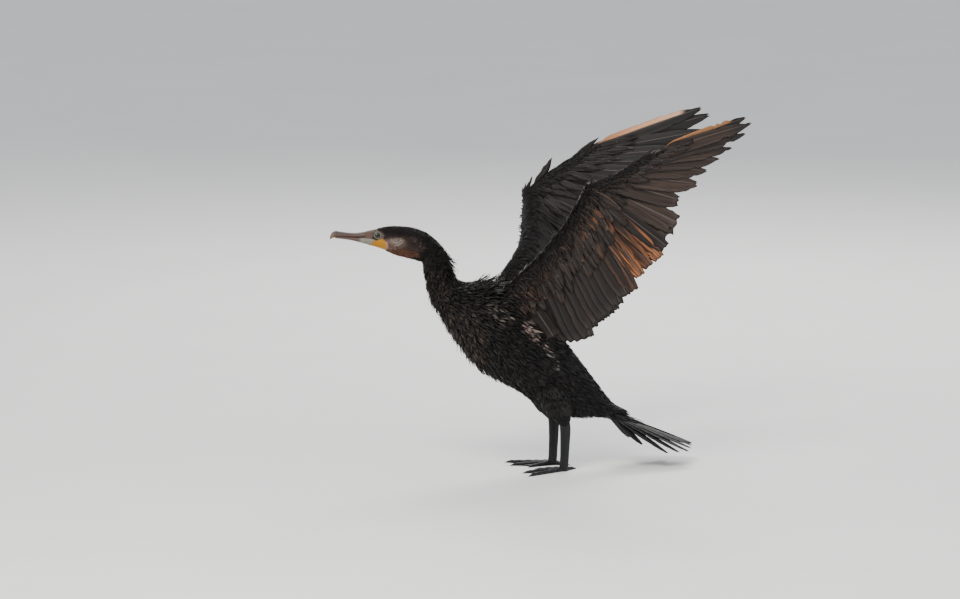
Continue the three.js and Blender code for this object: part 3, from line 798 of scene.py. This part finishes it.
# Wing feathers in rows: count, where the roots stand across the flesh, how far off its
# middle, length as a share of the reach, climb, width at the inner and outer end, then
# how blunt the tip is
wingRows = {
    "arm": {
        "flight": (20, 0.6, 0.0, 1.0, 0.0, 37, 33, 0.62),
        "upper1": (30, 0.72, 0.5, 0.54, 0.03, 21, 18, 0.25),
        "upper2": (42, 0.55, 0.62, 0.4, 0.07, 14, 12, 0.12),
        "upper3": (54, 0.36, 0.62, 0.29, 0.1, 10, 9, 0.08),
        "lower1": (23, 0.72, -0.5, 0.5, -0.03, 25, 22, 0.4),
        "lower2": (28, 0.55, -0.62, 0.37, -0.07, 18, 16, 0.3),
        "lower3": (36, 0.36, -0.62, 0.27, -0.1, 14, 12, 0.2),
    },
    "hand": {
        "flight": (10, 0.55, 0.0, 1.0, 0.0, 36, 24, 0.2),
        "upper1": (14, 0.62, 0.5, 0.42, 0.03, 18, 13, 0.15),
        "upper2": (22, 0.42, 0.6, 0.27, 0.07, 11, 8, 0.1),
        "lower1": (12, 0.62, -0.5, 0.38, -0.03, 20, 14, 0.25),
        "lower2": (16, 0.42, -0.6, 0.25, -0.07, 14, 11, 0.2),
    },
}
wingColours = {
    "upper": (0.0135, 0.0116, 0.0110), "under": (0.0135, 0.0088, 0.0070),
    "lesser": (0.0095, 0.0068, 0.0058), "secondary": (0.0105, 0.0066, 0.0052),
    "primary": (0.0260, 0.0155, 0.0110), "farFlight": (0.0120, 0.0104, 0.0100),
    # the pale grey of the front edge is a painted highlight
    "leadingHighlight": (0.60, 0.58, 0.57),
}
# The primaries of the near wing one by one, inner to outer: length, width and bluntness
nearPrimaries = np.array([
    (0.99, 1.2, 0.85), (1.0, 1.2, 0.85), (0.9, 1.05, 0.5), (0.97, 1.0, 0.25), (0.96, 0.95, 0.1),
    (0.92, 0.9, 0.1), (0.96, 0.9, 0.08), (0.97, 0.95, 0.08), (0.95, 1.0, 0.1), (0.955, 1.0, 0.12)])
flightLook = {"tilt": 0.16, "thick": 0.5, "farWidth": 1.14, "nearRise": 3, "farRise": 15,
              "nearWeb": 0.6, "farWeb": 1.0}


def wingRow(wing, part, key, row):
    count, chord, off, share, climb, wideIn, wideOut, blunt = row
    flight, near, inner = key == "flight", wing["side"] < 0, part == "arm"
    start = 0.0
    if inner:
        start = 0.16 if key[-1] in "23" else wingShape["armFrom"]
    t = np.linspace(0, 1, count)
    if not flight:
        t = np.sort(np.clip(t + rng.uniform(-0.35, 0.35, count) / count, 0, 1))
    s = wingStation(wing, part, start + (1 - start) * t)
    root = s["start"] + s["back"] * s["chord"] * chord + s["up"] * s["thick"] * off * wingShape["fleshShare"]
    reach = (s["start"] + s["reach"] - root) * share * rng.uniform(0.97, 1.03, count)[:, None]
    width = lerp(wideIn, wideOut, t) * rng.uniform(0.94, 1.06, count)
    if flight and not inner:
        if near:
            longer, wider, blunt = nearPrimaries.T
            reach, width = reach * longer[:, None], width * wider
        else:
            width *= flightLook["farWidth"]
        reach[:, 2] += flightLook["nearRise" if near else "farRise"] * smooth(0.4, 1, t)
    length = np.linalg.norm(reach, axis=1)
    reach = reach + s["up"] * (climb * length)[:, None]
    outward = unit(np.gradient(root + 0.7 * reach, axis=0))
    reach = reach + s["out"] * (rng.normal(0, 0.01 if flight else 0.09, count) * length)[:, None]
    face = 1 if off >= 0 else -1
    side = np.cross(square(s["up"] * face, unit(reach)), unit(reach))
    outer = np.sign(np.sum(side * outward, -1))
    # tints are a painted orange glow of sunlight through and off the feathers, whose low values pick real tan
    # edges instead; a pale edge, which on the upper coverts is a painted glint; and the tan outer web of the
    # last primary
    tint = np.zeros((count, 3))
    if flight:
        base = "farFlight" if not near else "secondary" if inner else "primary"
        if inner and near:
            # painted orange glow of sunlight shining through and glinting off the outer secondaries
            tint[:, 0] = between(t, 0.72, 0.82, 0.96, 0.995) * rng.uniform(0.74, 1, count)
        if not inner:
            tint[:, 2] = 0.05 * smooth(0.5, 0.7, t)
            tint[-1, 2] = flightLook["nearWeb" if near else "farWeb"]
        tint[:, 1] = 0.06
    elif off > 0:
        base = "upper"
        # pale edges of the upper coverts, painted as streaky glints of light
        tint[:, 1] = rng.uniform(0.1, 0.6, count)
    else:
        base = "under"
        # the under coverts beside those secondaries share the painted glow, and the others get real tan edges
        glow = between(t, 0.55, 0.75, 0.9, 1.0) if inner else 0 * t
        plain = 0.4 * (rng.random(count) > 0.4)
        tint[:, 0] = np.maximum(plain, glow * (rng.random(count) > 0.6) * rng.uniform(0.6, 0.8, count))
        tint[:, 1] = rng.uniform(0.1, 0.7, count) * (0.3 if key[-1] == "1" else 1)
    marking = speckled(wingColours[base], 0.75, 1.3, count)
    if flight:
        gaps = 0.2 + 0.3 * smooth(0.75, 0.85, t) if inner else smooth(0.25, 0.45, t)
        lift, notch, thick = 0.0, rng.uniform(0.1, 0.55, count) * gaps, flightLook["thick"]
        uneven = 0.02 if inner else 0.05
    else:
        lift, notch, thick, uneven = rng.uniform(-0.01, 0.07, count), 0.2, 0.3, 0.1
    across = chord * 0.3 + (0.35 if off > 0 else 0) + (0 if inner else 0.02) + rng.uniform(0, 0.05, count)
    return spots(root, reach, s["up"] * face, length=length, width=width, lift=lift, camber=0.05, blunt=blunt,
                 curl=0.035 if off >= 0 else 0.0, thick=thick, outer=outer, sweep=-0.015 * outer,
                 tilt=flightLook["tilt"] * outer * face, uneven=uneven, notch=notch, marking=marking,
                 tint=tint,
                 uv=bakePlace(t * 0.48 + (0.5 if near else 0), np.clip(across, 0, 1)))


# The small coverts that clothe the flesh of a wing, from its back edge round to the front
lesserLook = {"gap": 0.62, "turnStep": 0.24, "long": (27.0, 13.0), "wide": (8.0, 3.6), "handLong": 0.8}


def lesserCoverts(wing, part, upper):
    arm, sign = part == "arm", 1 if upper else -1
    thin = coatLook["thin"]
    lead = np.linalg.norm(np.diff(np.array(wing[part], float), axis=0), axis=1).sum()
    shares, turns = [], []
    turn = 0.5
    while turn < math.pi + 0.15:
        wide = lerp(*lesserLook["wide"], smooth(0.3, math.pi, turn))
        count = int(lead / (wide * lesserLook["gap"] * thin))
        shares.append(np.clip((np.arange(count) + rng.uniform(-0.4, 0.4, count)) / count, 0, 1))
        turns.append(turn + rng.uniform(-0.09, 0.09, count))
        turn += lesserLook["turnStep"] * thin
    share, turn = np.concatenate(shares), np.concatenate(turns)
    if arm:
        share = 0.1 + 0.9 * share
    count = len(share)
    root = wingSurface(wing, part, share, turn * sign)
    s = wingStation(wing, part, share)
    ahead = wingSurface(wing, part, share, turn * sign + 0.05)
    across = ahead - wingSurface(wing, part, share, turn * sign - 0.05)
    normal = unit(np.cross(across, s["out"]))
    middle = s["start"] + s["back"] * s["chord"] * 0.5
    normal *= np.sign(np.sum(normal * (root - middle), -1, keepdims=True))
    normal = unit(lerp(normal, s["up"] * sign, smooth(1.9, 0.7, turn)[:, None]))
    front = smooth(0.3, math.pi, turn)
    length = lerp(*lesserLook["long"], front) * rng.uniform(0.8, 1.25, count)
    if not arm:
        length *= lesserLook["handLong"]
    clump = 0.25 * np.sin(share * 47 + turn * 3) + 0.2 * np.sin(share * 91 - turn * 7)
    way = s["back"] + s["out"] * (lerp(0.15, 0.9, front**2) + clump + rng.normal(0, 0.14, count))[:, None]
    lift = np.clip(0.12 + 0.14 * front + rng.normal(0, 0.12, count), 0.03, 0.6)
    draws = rng.random(count)
    tint = np.zeros((count, 3))
    if upper:
        # pale edges of the upper lesser coverts, painted as grey glints of light
        tint[:, 1] = rng.uniform(0.3, 1.2, count) * (draws > 0.4)
    else:
        scaly = smooth(0.8, 0.5, front) * (smooth(0.05, 0.2, share) if arm else smooth(0.5, 0.1, share))
        tint[:, 0] = scaly * np.where(draws > 0.9, 0.66, 0.4)
        tint[:, 1] = np.maximum(scaly, 0.15) * (draws > 0.25) * rng.uniform(0.6, 1.2, count)
    marking = speckled(wingColours["upper" if upper else "lesser"], 0.6, 1.5, count)
    return spots(root, square(unit(way), normal), normal, length=length,
                 width=lerp(*lesserLook["wide"], front), lift=lift, curl=lift * 0.5, camber=0.14,
                 blunt=0.1, uneven=0.12, sweep=rng.normal(0, 0.06, count), marking=marking, tint=tint,
                 uv=bakePlace(share * 0.48 + (0.5 if wing["side"] < 0 else 0),
                              (turn / math.pi * 0.2 + (0.75 if upper else 0.5)) % 1))


# Loose feathers: the part, how far along its leading edge, the reach, and the width.
# First the thumb's feathers, then the ones that stand up off the wrist.
looseFeathers = {
    "right": [("hand", 0.24, (22, 0, 38), 14), ("hand", 0.18, (20, 0, 28), 11),
              ("hand", 0.69, (43, -7, 35), 11), ("hand", 0.62, (36, -6, 24), 9),
              ("hand", 0.48, (40, -4, 20), 9), ("arm", 0.95, (4, 3, 22), 6),
              ("arm", 0.9, (-2, 4, 20), 6), ("hand", 0.05, (12, 2, 26), 7)],
    "left": [("hand", 0.1, (58, 4, 12), 13), ("hand", 0.2, (50, 4, 10), 12), ("hand", 0.3, (44, 4, 8), 11),
             ("arm", 0.97, (16, 0, 22), 6), ("arm", 0.92, (12, -3, 20), 5), ("hand", 0.5, (34, 5, 22), 6),
             ("hand", 0.66, (30, 5, 20), 6)],
}


def looseRow(name):
    parts, ats, reaches, widths = zip(*looseFeathers[name])
    roots = np.array([wingStation(wings[name], part, at)["start"] for part, at in zip(parts, ats)])
    reach, count = np.array(reaches, float), len(parts)
    buried = 6
    return spots(roots - unit(reach) * buried, reach, (0.2, -0.9, 0.3), width=widths, lift=0.05, curl=0.04,
                 length=np.linalg.norm(reach, axis=1) + buried, blunt=0.1, camber=0.06, uneven=0.12,
                 notch=0.4, thick=0.35, marking=wingColours["lesser"], tint=(0, 0.2, 0),
                 uv=np.stack([np.linspace(0.05, 0.95, count), np.full(count, 0.46)], -1))


def leadingHighlight(wing, count=130):
    # little feathers along the near wing's front edge, painted pale and silvery as the highlight that light
    # from above puts there
    t = np.linspace(0.12, 0.99, count)
    s = wingStation(wing, "arm", t)
    reach = s["out"] + s["back"] * rng.normal(0.15, 0.16, count)[:, None]
    length = rng.uniform(11, 19, count)
    # how strong each little feather's painted highlight is
    bright = rng.uniform(0.04, 1, count)[:, None] ** 1.5
    return spots(s["start"] - s["back"] * 1.2, reach, -s["back"], length=length, width=3.8, lift=0.09,
                 curl=0.05, blunt=0.15, uneven=0.1, marking=vec(*wingColours["leadingHighlight"]) * bright,
                 uv=np.stack([t * 0.9, np.full(count, 0.48)], -1))


def makeWing(name, wing):
    def plantRow(piece, template, tables, finish, nodes, flight=False):
        plant(f"wing_{name}_{piece}", template, joined(tables), finish, nodes, flight)

    for part, rows in wingRows.items():
        nodes = [f"wing_{name}_{part}"]
        flights = [wingRow(wing, part, "flight", rows["flight"])]
        plantRow(f"{part}_flight", quill, flights, flightFinish, nodes, flight=True)
        for face in ("upper", "lower"):
            tables = [wingRow(wing, part, key, row) for key, row in rows.items() if key.startswith(face)]
            plantRow(f"{part}_{face}_coverts", covert, tables, flightFinish, nodes)
    nodes = [f"wing_{name}_arm", f"wing_{name}_hand"]
    for face in ("upper", "lower"):
        tables = [lesserCoverts(wing, part, face == "upper") for part in ("arm", "hand")]
        if name == "left" and face == "upper":
            tables.append(leadingHighlight(wing))
        plantRow(f"{face}_lesser", blade, tables, bodyFinish, nodes)
    plantRow("loose", covert, [looseRow(name)], flightFinish, nodes)


for wingName, wing in wings.items():
    makeWing(wingName, wing)
print("wings ready")

# Tail: its feathers in one row, and two rows of coverts at each of four heights
tail = {"root": (108, 0, 98), "drop": 0.37, "outerDrop": 0.3, "outerShare": 0.68,
        "colour": (0.010, 0.0092, 0.0092),
        "feathers": {"count": 14, "length": 170.0, "spread": 29.0, "wide": 14.0, "width": 20.0},
        "coverts": [{"count": 16, "length": 70.0, "spread": 20, "wide": 12, "width": 9.5},
                    {"count": 14, "length": 49.0, "spread": 26, "wide": 14, "width": 9.5}],
        "covertSteps": [(1.5, 0.01), (3, 0.03), (-1.5, -0.01), (-3, -0.05)]}


def tailRow(row, height, climb, flight):
    count = row["count"]
    share = np.linspace(-1, 1, count)
    apart = share**9 if flight else 0 * share      # the outermost feather stands off
    angle = np.radians(row["spread"] * share + 5 * apart)
    drop = tail["drop"] + tail["outerDrop"] * share**2 + 0.16 * np.abs(apart)
    root = vec(*tail["root"]) + np.stack([0 * share, row["wide"] * share, height - 2 * share**2], -1)
    reach = unit(np.stack([np.cos(angle), np.sin(angle), climb - drop], -1))
    rounding = 1 - (1 - tail["outerShare"]) * share**2 - 0.2 * share**8
    long = row["length"] * rounding * rng.uniform(0.95 if flight else 0.65, 1.04, count)
    marking = speckled(tail["colour"], 0.8, 1.4, count)
    lift, blunt, thick = (0.0, 0.25, 0.8) if flight else (0.02, 0.1, 0.3)
    return spots(root, reach, (0, 0, 1), length=long, width=row["width"], lift=lift, curl=0.03, camber=0.06,
                 blunt=blunt, thick=thick, uneven=0.06, marking=marking,
                 tilt=-flightLook["tilt"] * np.sign(share + 0.01),
                 uv=np.stack([0.02 + 0.9 * (share + 1) / 2, np.full(count, 0.5 + height * 0.02)], -1))


def makeTail():
    plant("tail_feathers", quill, tailRow(tail["feathers"], 0, 0, True), flightFinish, ["tail"],
          flight=True)
    long, short = tail["coverts"]
    rows = []
    for height, climb in tail["covertSteps"]:
        rows.append(tailRow(long, height, climb, False))
        rows.append(tailRow(short, height, climb * 1.3, False))
    plant("tail_coverts", covert, joined(rows), flightFinish, ["tail"])


makeTail()
print("tail ready")

# Bill, in sections from the face to the hook: share of its length, upper and lower edge,
# half width
bill = {
    "front": -347.0, "length": 62.8, "grid": (60, 40), "gapeZ": 431.0, "grooveZ": 0.4375,
    "upper": [(0, 440.6, 430.6, 8.6), (0.22, 439.2, 431, 6.7), (0.45, 440.2, 432, 5.3),
              (0.68, 442.3, 432.8, 4.5), (0.82, 443.8, 432.8, 4.2), (0.92, 441.8, 431.3, 3.6),
              (0.98, 437.5, 429.6, 2.5), (1, 434, 428.8, 1.3)],
    "lower": [(0, 431.4, 419, 8.3), (0.22, 431.8, 423.4, 6.4), (0.45, 432.8, 426.9, 4.8),
              (0.68, 433.5, 429.3, 3.7), (0.8, 433.4, 430.4, 2.8), (0.85, 433.0, 430.9, 1.7)],
    # the groove and gape colours are painted shade, in the bill's groove and in the crack between its two
    # halves
    "ridge": (0.040, 0.034, 0.034), "groove": (0.020, 0.012, 0.011), "gape": (0.022, 0.014, 0.012),
    "tip": (0.17, 0.115, 0.042),
}


def mandible(sections, groove):
    table = np.array(sections, float)

    def surface(u, v):
        row = trackAt(table[:, 0] / table[-1, 0], table, u)
        turn = v * fullTurn
        tall = (row[:, 1] - row[:, 2]) / 2
        bulge = np.abs(np.cos(turn)) ** 0.85 * np.sign(np.cos(turn))
        inset = groove * np.exp(-((np.sin(turn) - 0.35) / 0.14) ** 2) * smooth(0.98, 0.7, u)
        x = bill["front"] - row[:, 0] * bill["length"]
        z = (row[:, 1] + row[:, 2]) / 2 + tall * np.sin(turn)
        return np.stack([x, (row[:, 3] - inset) * bulge, z], -1)

    return gridShape(*bill["grid"], surface)


def billFinish(name, low, high, ridge, atFace, faceShare):
    f = Finish(name)
    x, _, z = f.split(f.place())
    tipX, faceX = billBox[0].x, billBox[1].x
    lengthwise = f.node("ShaderNodeMapping", Vector=f.place(), Scale=(60.0, 900.0, 900.0))
    streaks = f.noise(1.0, 4.0, 0.6, lengthwise)
    fine = f.noise(1500.0)
    colour = f.mix(streaks, low, high)
    top = f.step(z, ridge, ridge + 0.003)
    colour = f.mix(top * 0.85, colour, bill["ridge"])
    colour = f.mix(f.step(x, faceX - 0.013, faceX - 0.005) * faceShare, colour, atFace)
    # painted shade: a dark line along the upper bill's groove, where the recess is shaded
    groove = (1 - f.step(abs(z - bill["grooveZ"]), 0.0003, 0.0011)) * f.step(x, tipX + 0.018, tipX + 0.034)
    colour = f.mix(groove * 0.6, colour, bill["groove"])
    # painted shade: a dark line along the mouth, where the two halves of the bill meet
    gapeX, _, gapeZ = toModel(vec(bill["front"], 0, bill["gapeZ"])).tolist()
    mouth = abs(z - gapeZ + (x - gapeX) * 0.045)
    colour = f.mix((1 - f.step(mouth, 0.0003, 0.0009)) * 0.8, colour, bill["gape"])
    tip = 1 - f.step(x, tipX + 0.004, tipX + 0.013)
    colour = f.mix(tip * 0.55 * (1 - top), colour, bill["tip"])
    return f.set(Base_Color=colour, Roughness=0.36 + fine * 0.2, Specular_IOR_Level=0.35,
                 Normal=f.bump(streaks * 0.7 + fine * 0.3, 0.0004))


upperFinish = billFinish("horn of the upper bill", (0.026, 0.016, 0.014), (0.112, 0.060, 0.047), 0.4372,
                         (0.066, 0.036, 0.028), 0.85)
lowerFinish = billFinish("horn of the lower bill", (0.098, 0.054, 0.043), (0.048, 0.029, 0.025), 0.9,
                         (0.17, 0.16, 0.13), 0.9)
addPiece("upper_bill", mandible(bill["upper"], 0.7), upperFinish, ["bill_upper"])
addPiece("lower_bill", mandible(bill["lower"], 0.0), lowerFinish, ["bill_lower"])
print("bill ready")


# Eyes: a ball with an iris and a pupil, inside a beaded ring of bare skin
def eyeFinish():
    f = Finish("eye")
    x, _, z = f.split(f.place())
    centreX, _, centreZ = toModel(vec(eye["x"], 0, eye["z"])).tolist()
    dx, dz = (x - centreX) * 1000, (z - centreZ) * 1000
    far = (dx * dx + dz * dz).math("SQRT")
    rays = f.noise(2600.0)
    iris = f.mix(rays, (0.0025, 0.012, 0.007), (0.008, 0.040, 0.022))
    colour = f.mix(f.step(far, eye["pupil"], eye["pupil"] + 0.25), (0.002, 0.002, 0.003), iris)
    colour = f.mix(f.step(far, eye["iris"] - 0.5, eye["iris"]), colour, (0.01, 0.012, 0.012))
    return f.set(Base_Color=colour, Roughness=0.08, Coat_Weight=0.25, Coat_Roughness=0.02, IOR=1.34)


def ringFinish(name):
    f = Finish(f"bare ring of the {name} eye")
    grain = f.noise(1800.0)
    colour = f.mix(grain, (0.055, 0.048, 0.036), (0.15, 0.13, 0.098))
    return f.set(Base_Color=colour, Roughness=0.4, Normal=f.bump(grain, 0.0003))


def eyeRing(side):
    def surface(u, v):
        turn, tube = u * fullTurn, v * fullTurn
        thick = eye["ringThick"] * (1 + 0.16 * np.cos(turn * eye["beads"]))
        radius = eye["ring"] + thick * np.cos(tube)
        height = 0.92 - 0.1 * np.cos(turn * 2)
        out = side * (eye["out"] + 3.1 + thick * np.sin(tube) - 0.5 * np.cos(turn))
        x, z = eye["x"] + radius * np.cos(turn), eye["z"] + radius * height * np.sin(turn)
        return np.stack([x, out, z], -1)

    return gridShape(*eye["ringGrid"], surface)


def makeEyes():
    finish = eyeFinish()
    around, rows = eye["ballGrid"]
    for side, name in ((-1, "left"), (1, "right")):
        bm = bmesh.new()
        bmesh.ops.create_uvsphere(bm, u_segments=around, v_segments=rows, radius=eye["radius"] / 1000)
        bmesh.ops.translate(bm, verts=bm.verts, vec=toModel(vec(eye["x"], side * eye["out"], eye["z"])))
        addPiece(f"eye_{name}_ball", bm, finish, [f"eye_{name}"])
        addPiece(f"eye_{name}_ring", eyeRing(side), ringFinish(name), ["head"])


makeEyes()
print("eyes ready")

# Legs and webbed feet. A toe is its length, turn, half width and number of joints. The
# shank runs down from the heel: how far back of the leg's middle, height, half across
# and half deep.
foot = {
    "claw": 14.0, "web": 1.1, "toeGrid": (60, 18), "webGrid": (16, 20), "shankGrid": (110, 24),
    "toes": {"inner": (62, -24, 4.2, 3), "middle": (84, 4, 4.6, 4), "outer": (94, 29, 4.4, 5),
             "hallux": (40, -146, 4.2, 2)},
    "webs": [("hallux", "inner", 0.5), ("inner", "middle", 0.16), ("middle", "outer", 0.16)],
    "shank": np.array([(-1, 92, 7.2, 9.8), (1, 78, 7.2, 9.8), (1, 62, 6.2, 9.2), (0, 32, 5.4, 8.2),
                       (-1, 14, 6.2, 8.0), (-2, 6, 6.8, 8.2), (-2, 0.2, 6.2, 7.4)]),
}


def toeFrame(side, toe):
    length, turn = toe[0], math.radians(toe[1])
    root = vec(legX - 2, side * legHalfSpan, 0)
    forward = vec(-math.cos(turn), side * math.sin(turn), 0)
    return root, forward, length


def toeShape(side, toe):
    root, forward, length = toeFrame(side, toe)
    sideways = np.cross(vec(0, 0, 1), forward)
    wide, bones = toe[2:]
    end = (length - foot["claw"]) / length

    def surface(u, v):
        turn = v * fullTurn
        joints = 0.5 + 0.5 * np.cos(u / end * bones * fullTurn)
        fleshy = lerp(1.05, 0.72, u / end) * (0.86 + 0.16 * joints)
        scutes = 1 + 0.035 * np.abs(np.sin(u * length * 1.15)) * (np.sin(turn) > -0.2)
        taper = smooth(1.0, end, u) ** 0.75
        half = np.where(u < end, wide * fleshy * scutes, lerp(0.35, wide * 0.5, taper))
        boned = lerp(5.2, 3.0, u / end) * (0.9 + 0.12 * joints) * scutes
        tall = np.where(u < end, boned, lerp(0.35, 2.6, taper))
        drop = np.where(u > end, 1.2 * ((u - end) / (1 - end)) ** 2, 0)
        z = np.maximum(tall * 0.82 + tall * np.sin(turn) - drop, 0.03)
        point = root + forward * (u * length - 3)[:, None] + sideways * (half * np.cos(turn))[:, None]
        point[:, 2] += z
        return point

    return gridShape(*foot["toeGrid"], surface)


def webShape(side, first, second, dip):
    root, wayA, lengthA = toeFrame(side, first)
    _, wayB, lengthB = toeFrame(side, second)

    def surface(u, v):
        reach = lerp(lengthA, lengthB, v)[:, None] * 0.84 * u[:, None]
        way = lerp(wayA, wayB, v[:, None])
        scallop = 1 - dip * (4 * v * (1 - v))[:, None] * u[:, None]
        point = root + way * reach * scallop
        wrinkle = 0.35 * np.sin(v * 5 * math.pi + u * 3) * np.sin(v * math.pi)
        point[:, 2] = 1.35 + 0.9 * (1 - u) + wrinkle * u
        return point

    bm = gridShape(*foot["webGrid"], surface, closed=False)
    for face in bm.faces:
        face.smooth = True
    bmesh.ops.solidify(bm, geom=bm.faces[:], thickness=foot["web"] / 1000)
    return bm


def shankShape(side):
    def surface(u, v):
        row = curveAt(foot["shank"], u * (len(foot["shank"]) - 1))
        turn = v * fullTurn
        scutes = 1 + 0.03 * np.abs(np.sin(row[:, 1])) * (np.cos(turn) < 0)
        return np.stack([legX + row[:, 0] + row[:, 3] * np.cos(turn) * scutes,
                         side * legHalfSpan + row[:, 2] * np.sin(turn) * scutes, row[:, 1]], -1)

    return gridShape(*foot["shankGrid"], surface)


def footFinish():
    f = Finish("black scaly foot skin")
    scales = f.node("ShaderNodeTexVoronoi", {"feature": "DISTANCE_TO_EDGE"}, Vector=f.place(), Scale=620.0)
    grain = f.noise(700.0)
    colour = f.mix(grain, (0.0030, 0.0031, 0.0036), (0.0095, 0.0100, 0.0115))
    edge = f.step(scales, 0.0, 0.12)
    return f.set(Base_Color=colour, Roughness=0.3 + grain * 0.25, Specular_IOR_Level=0.3,
                 Normal=f.bump(edge + grain * 0.3, 0.0004))


def makeLegs():
    finish = footFinish()
    toes = foot["toes"]
    for side, name in ((-1, "left"), (1, "right")):
        addPiece(f"shank_{name}", shankShape(side), finish, [f"leg_{name}"])
        shapes = {f"toe_{name}_{key}": toeShape(side, toe) for key, toe in toes.items()}
        for a, b, dip in foot["webs"]:
            shapes[f"web_{name}_{a}"] = webShape(side, toes[a], toes[b], dip)
        for key, shape in shapes.items():
            addPiece(key, shape, finish, [f"foot_{name}"])


makeLegs()
print("feet ready")

# Studio: a pale floor and soft light. A lamp is its place, size, power and colour.
studio = {
    "floor": ((0.70, 0.70, 0.69), (0.76, 0.76, 0.75)), "sky": (0.87, 0.89, 0.93, 1), "skyStrength": 0.95,
    "aim": (0, 0, 0.32),
    "lamps": {"key": ((-1.6, -2.6, 3.0), 1.6, 190.0, (1.0, 0.97, 0.92)),
              "fill": ((2.6, -2.0, 1.8), 2.2, 25.0, (0.92, 0.96, 1.0)),
              "rim": ((1.2, 2.6, 2.6), 1.6, 110.0, (1.0, 0.98, 0.95))},
}


def makeStudio():
    bm = bmesh.new()
    bmesh.ops.create_grid(bm, x_segments=2, y_segments=2, size=30)
    floor = linked("floor", meshOf(bm, "floor"))
    f = Finish("pale floor")
    floor.data.materials.append(f.set(Base_Color=f.mix(f.noise(3.0), *studio["floor"]), Roughness=0.85))
    world = bpy.data.worlds.new("studio")
    world.use_nodes = True
    sky = world.node_tree.nodes["Background"].inputs
    sky[0].default_value = studio["sky"]
    sky[1].default_value = studio["skyStrength"]
    bpy.context.scene.world = world
    for name, (place, size, power, colour) in studio["lamps"].items():
        data = bpy.data.lights.new(name, "AREA")
        data.size = size
        data.energy = power
        data.color = colour
        lamp = linked(name, data)
        lamp.location = place
        aim = Vector(studio["aim"]) - Vector(place)
        lamp.rotation_euler = aim.to_track_quat("-Z", "Y").to_euler()


makeStudio()
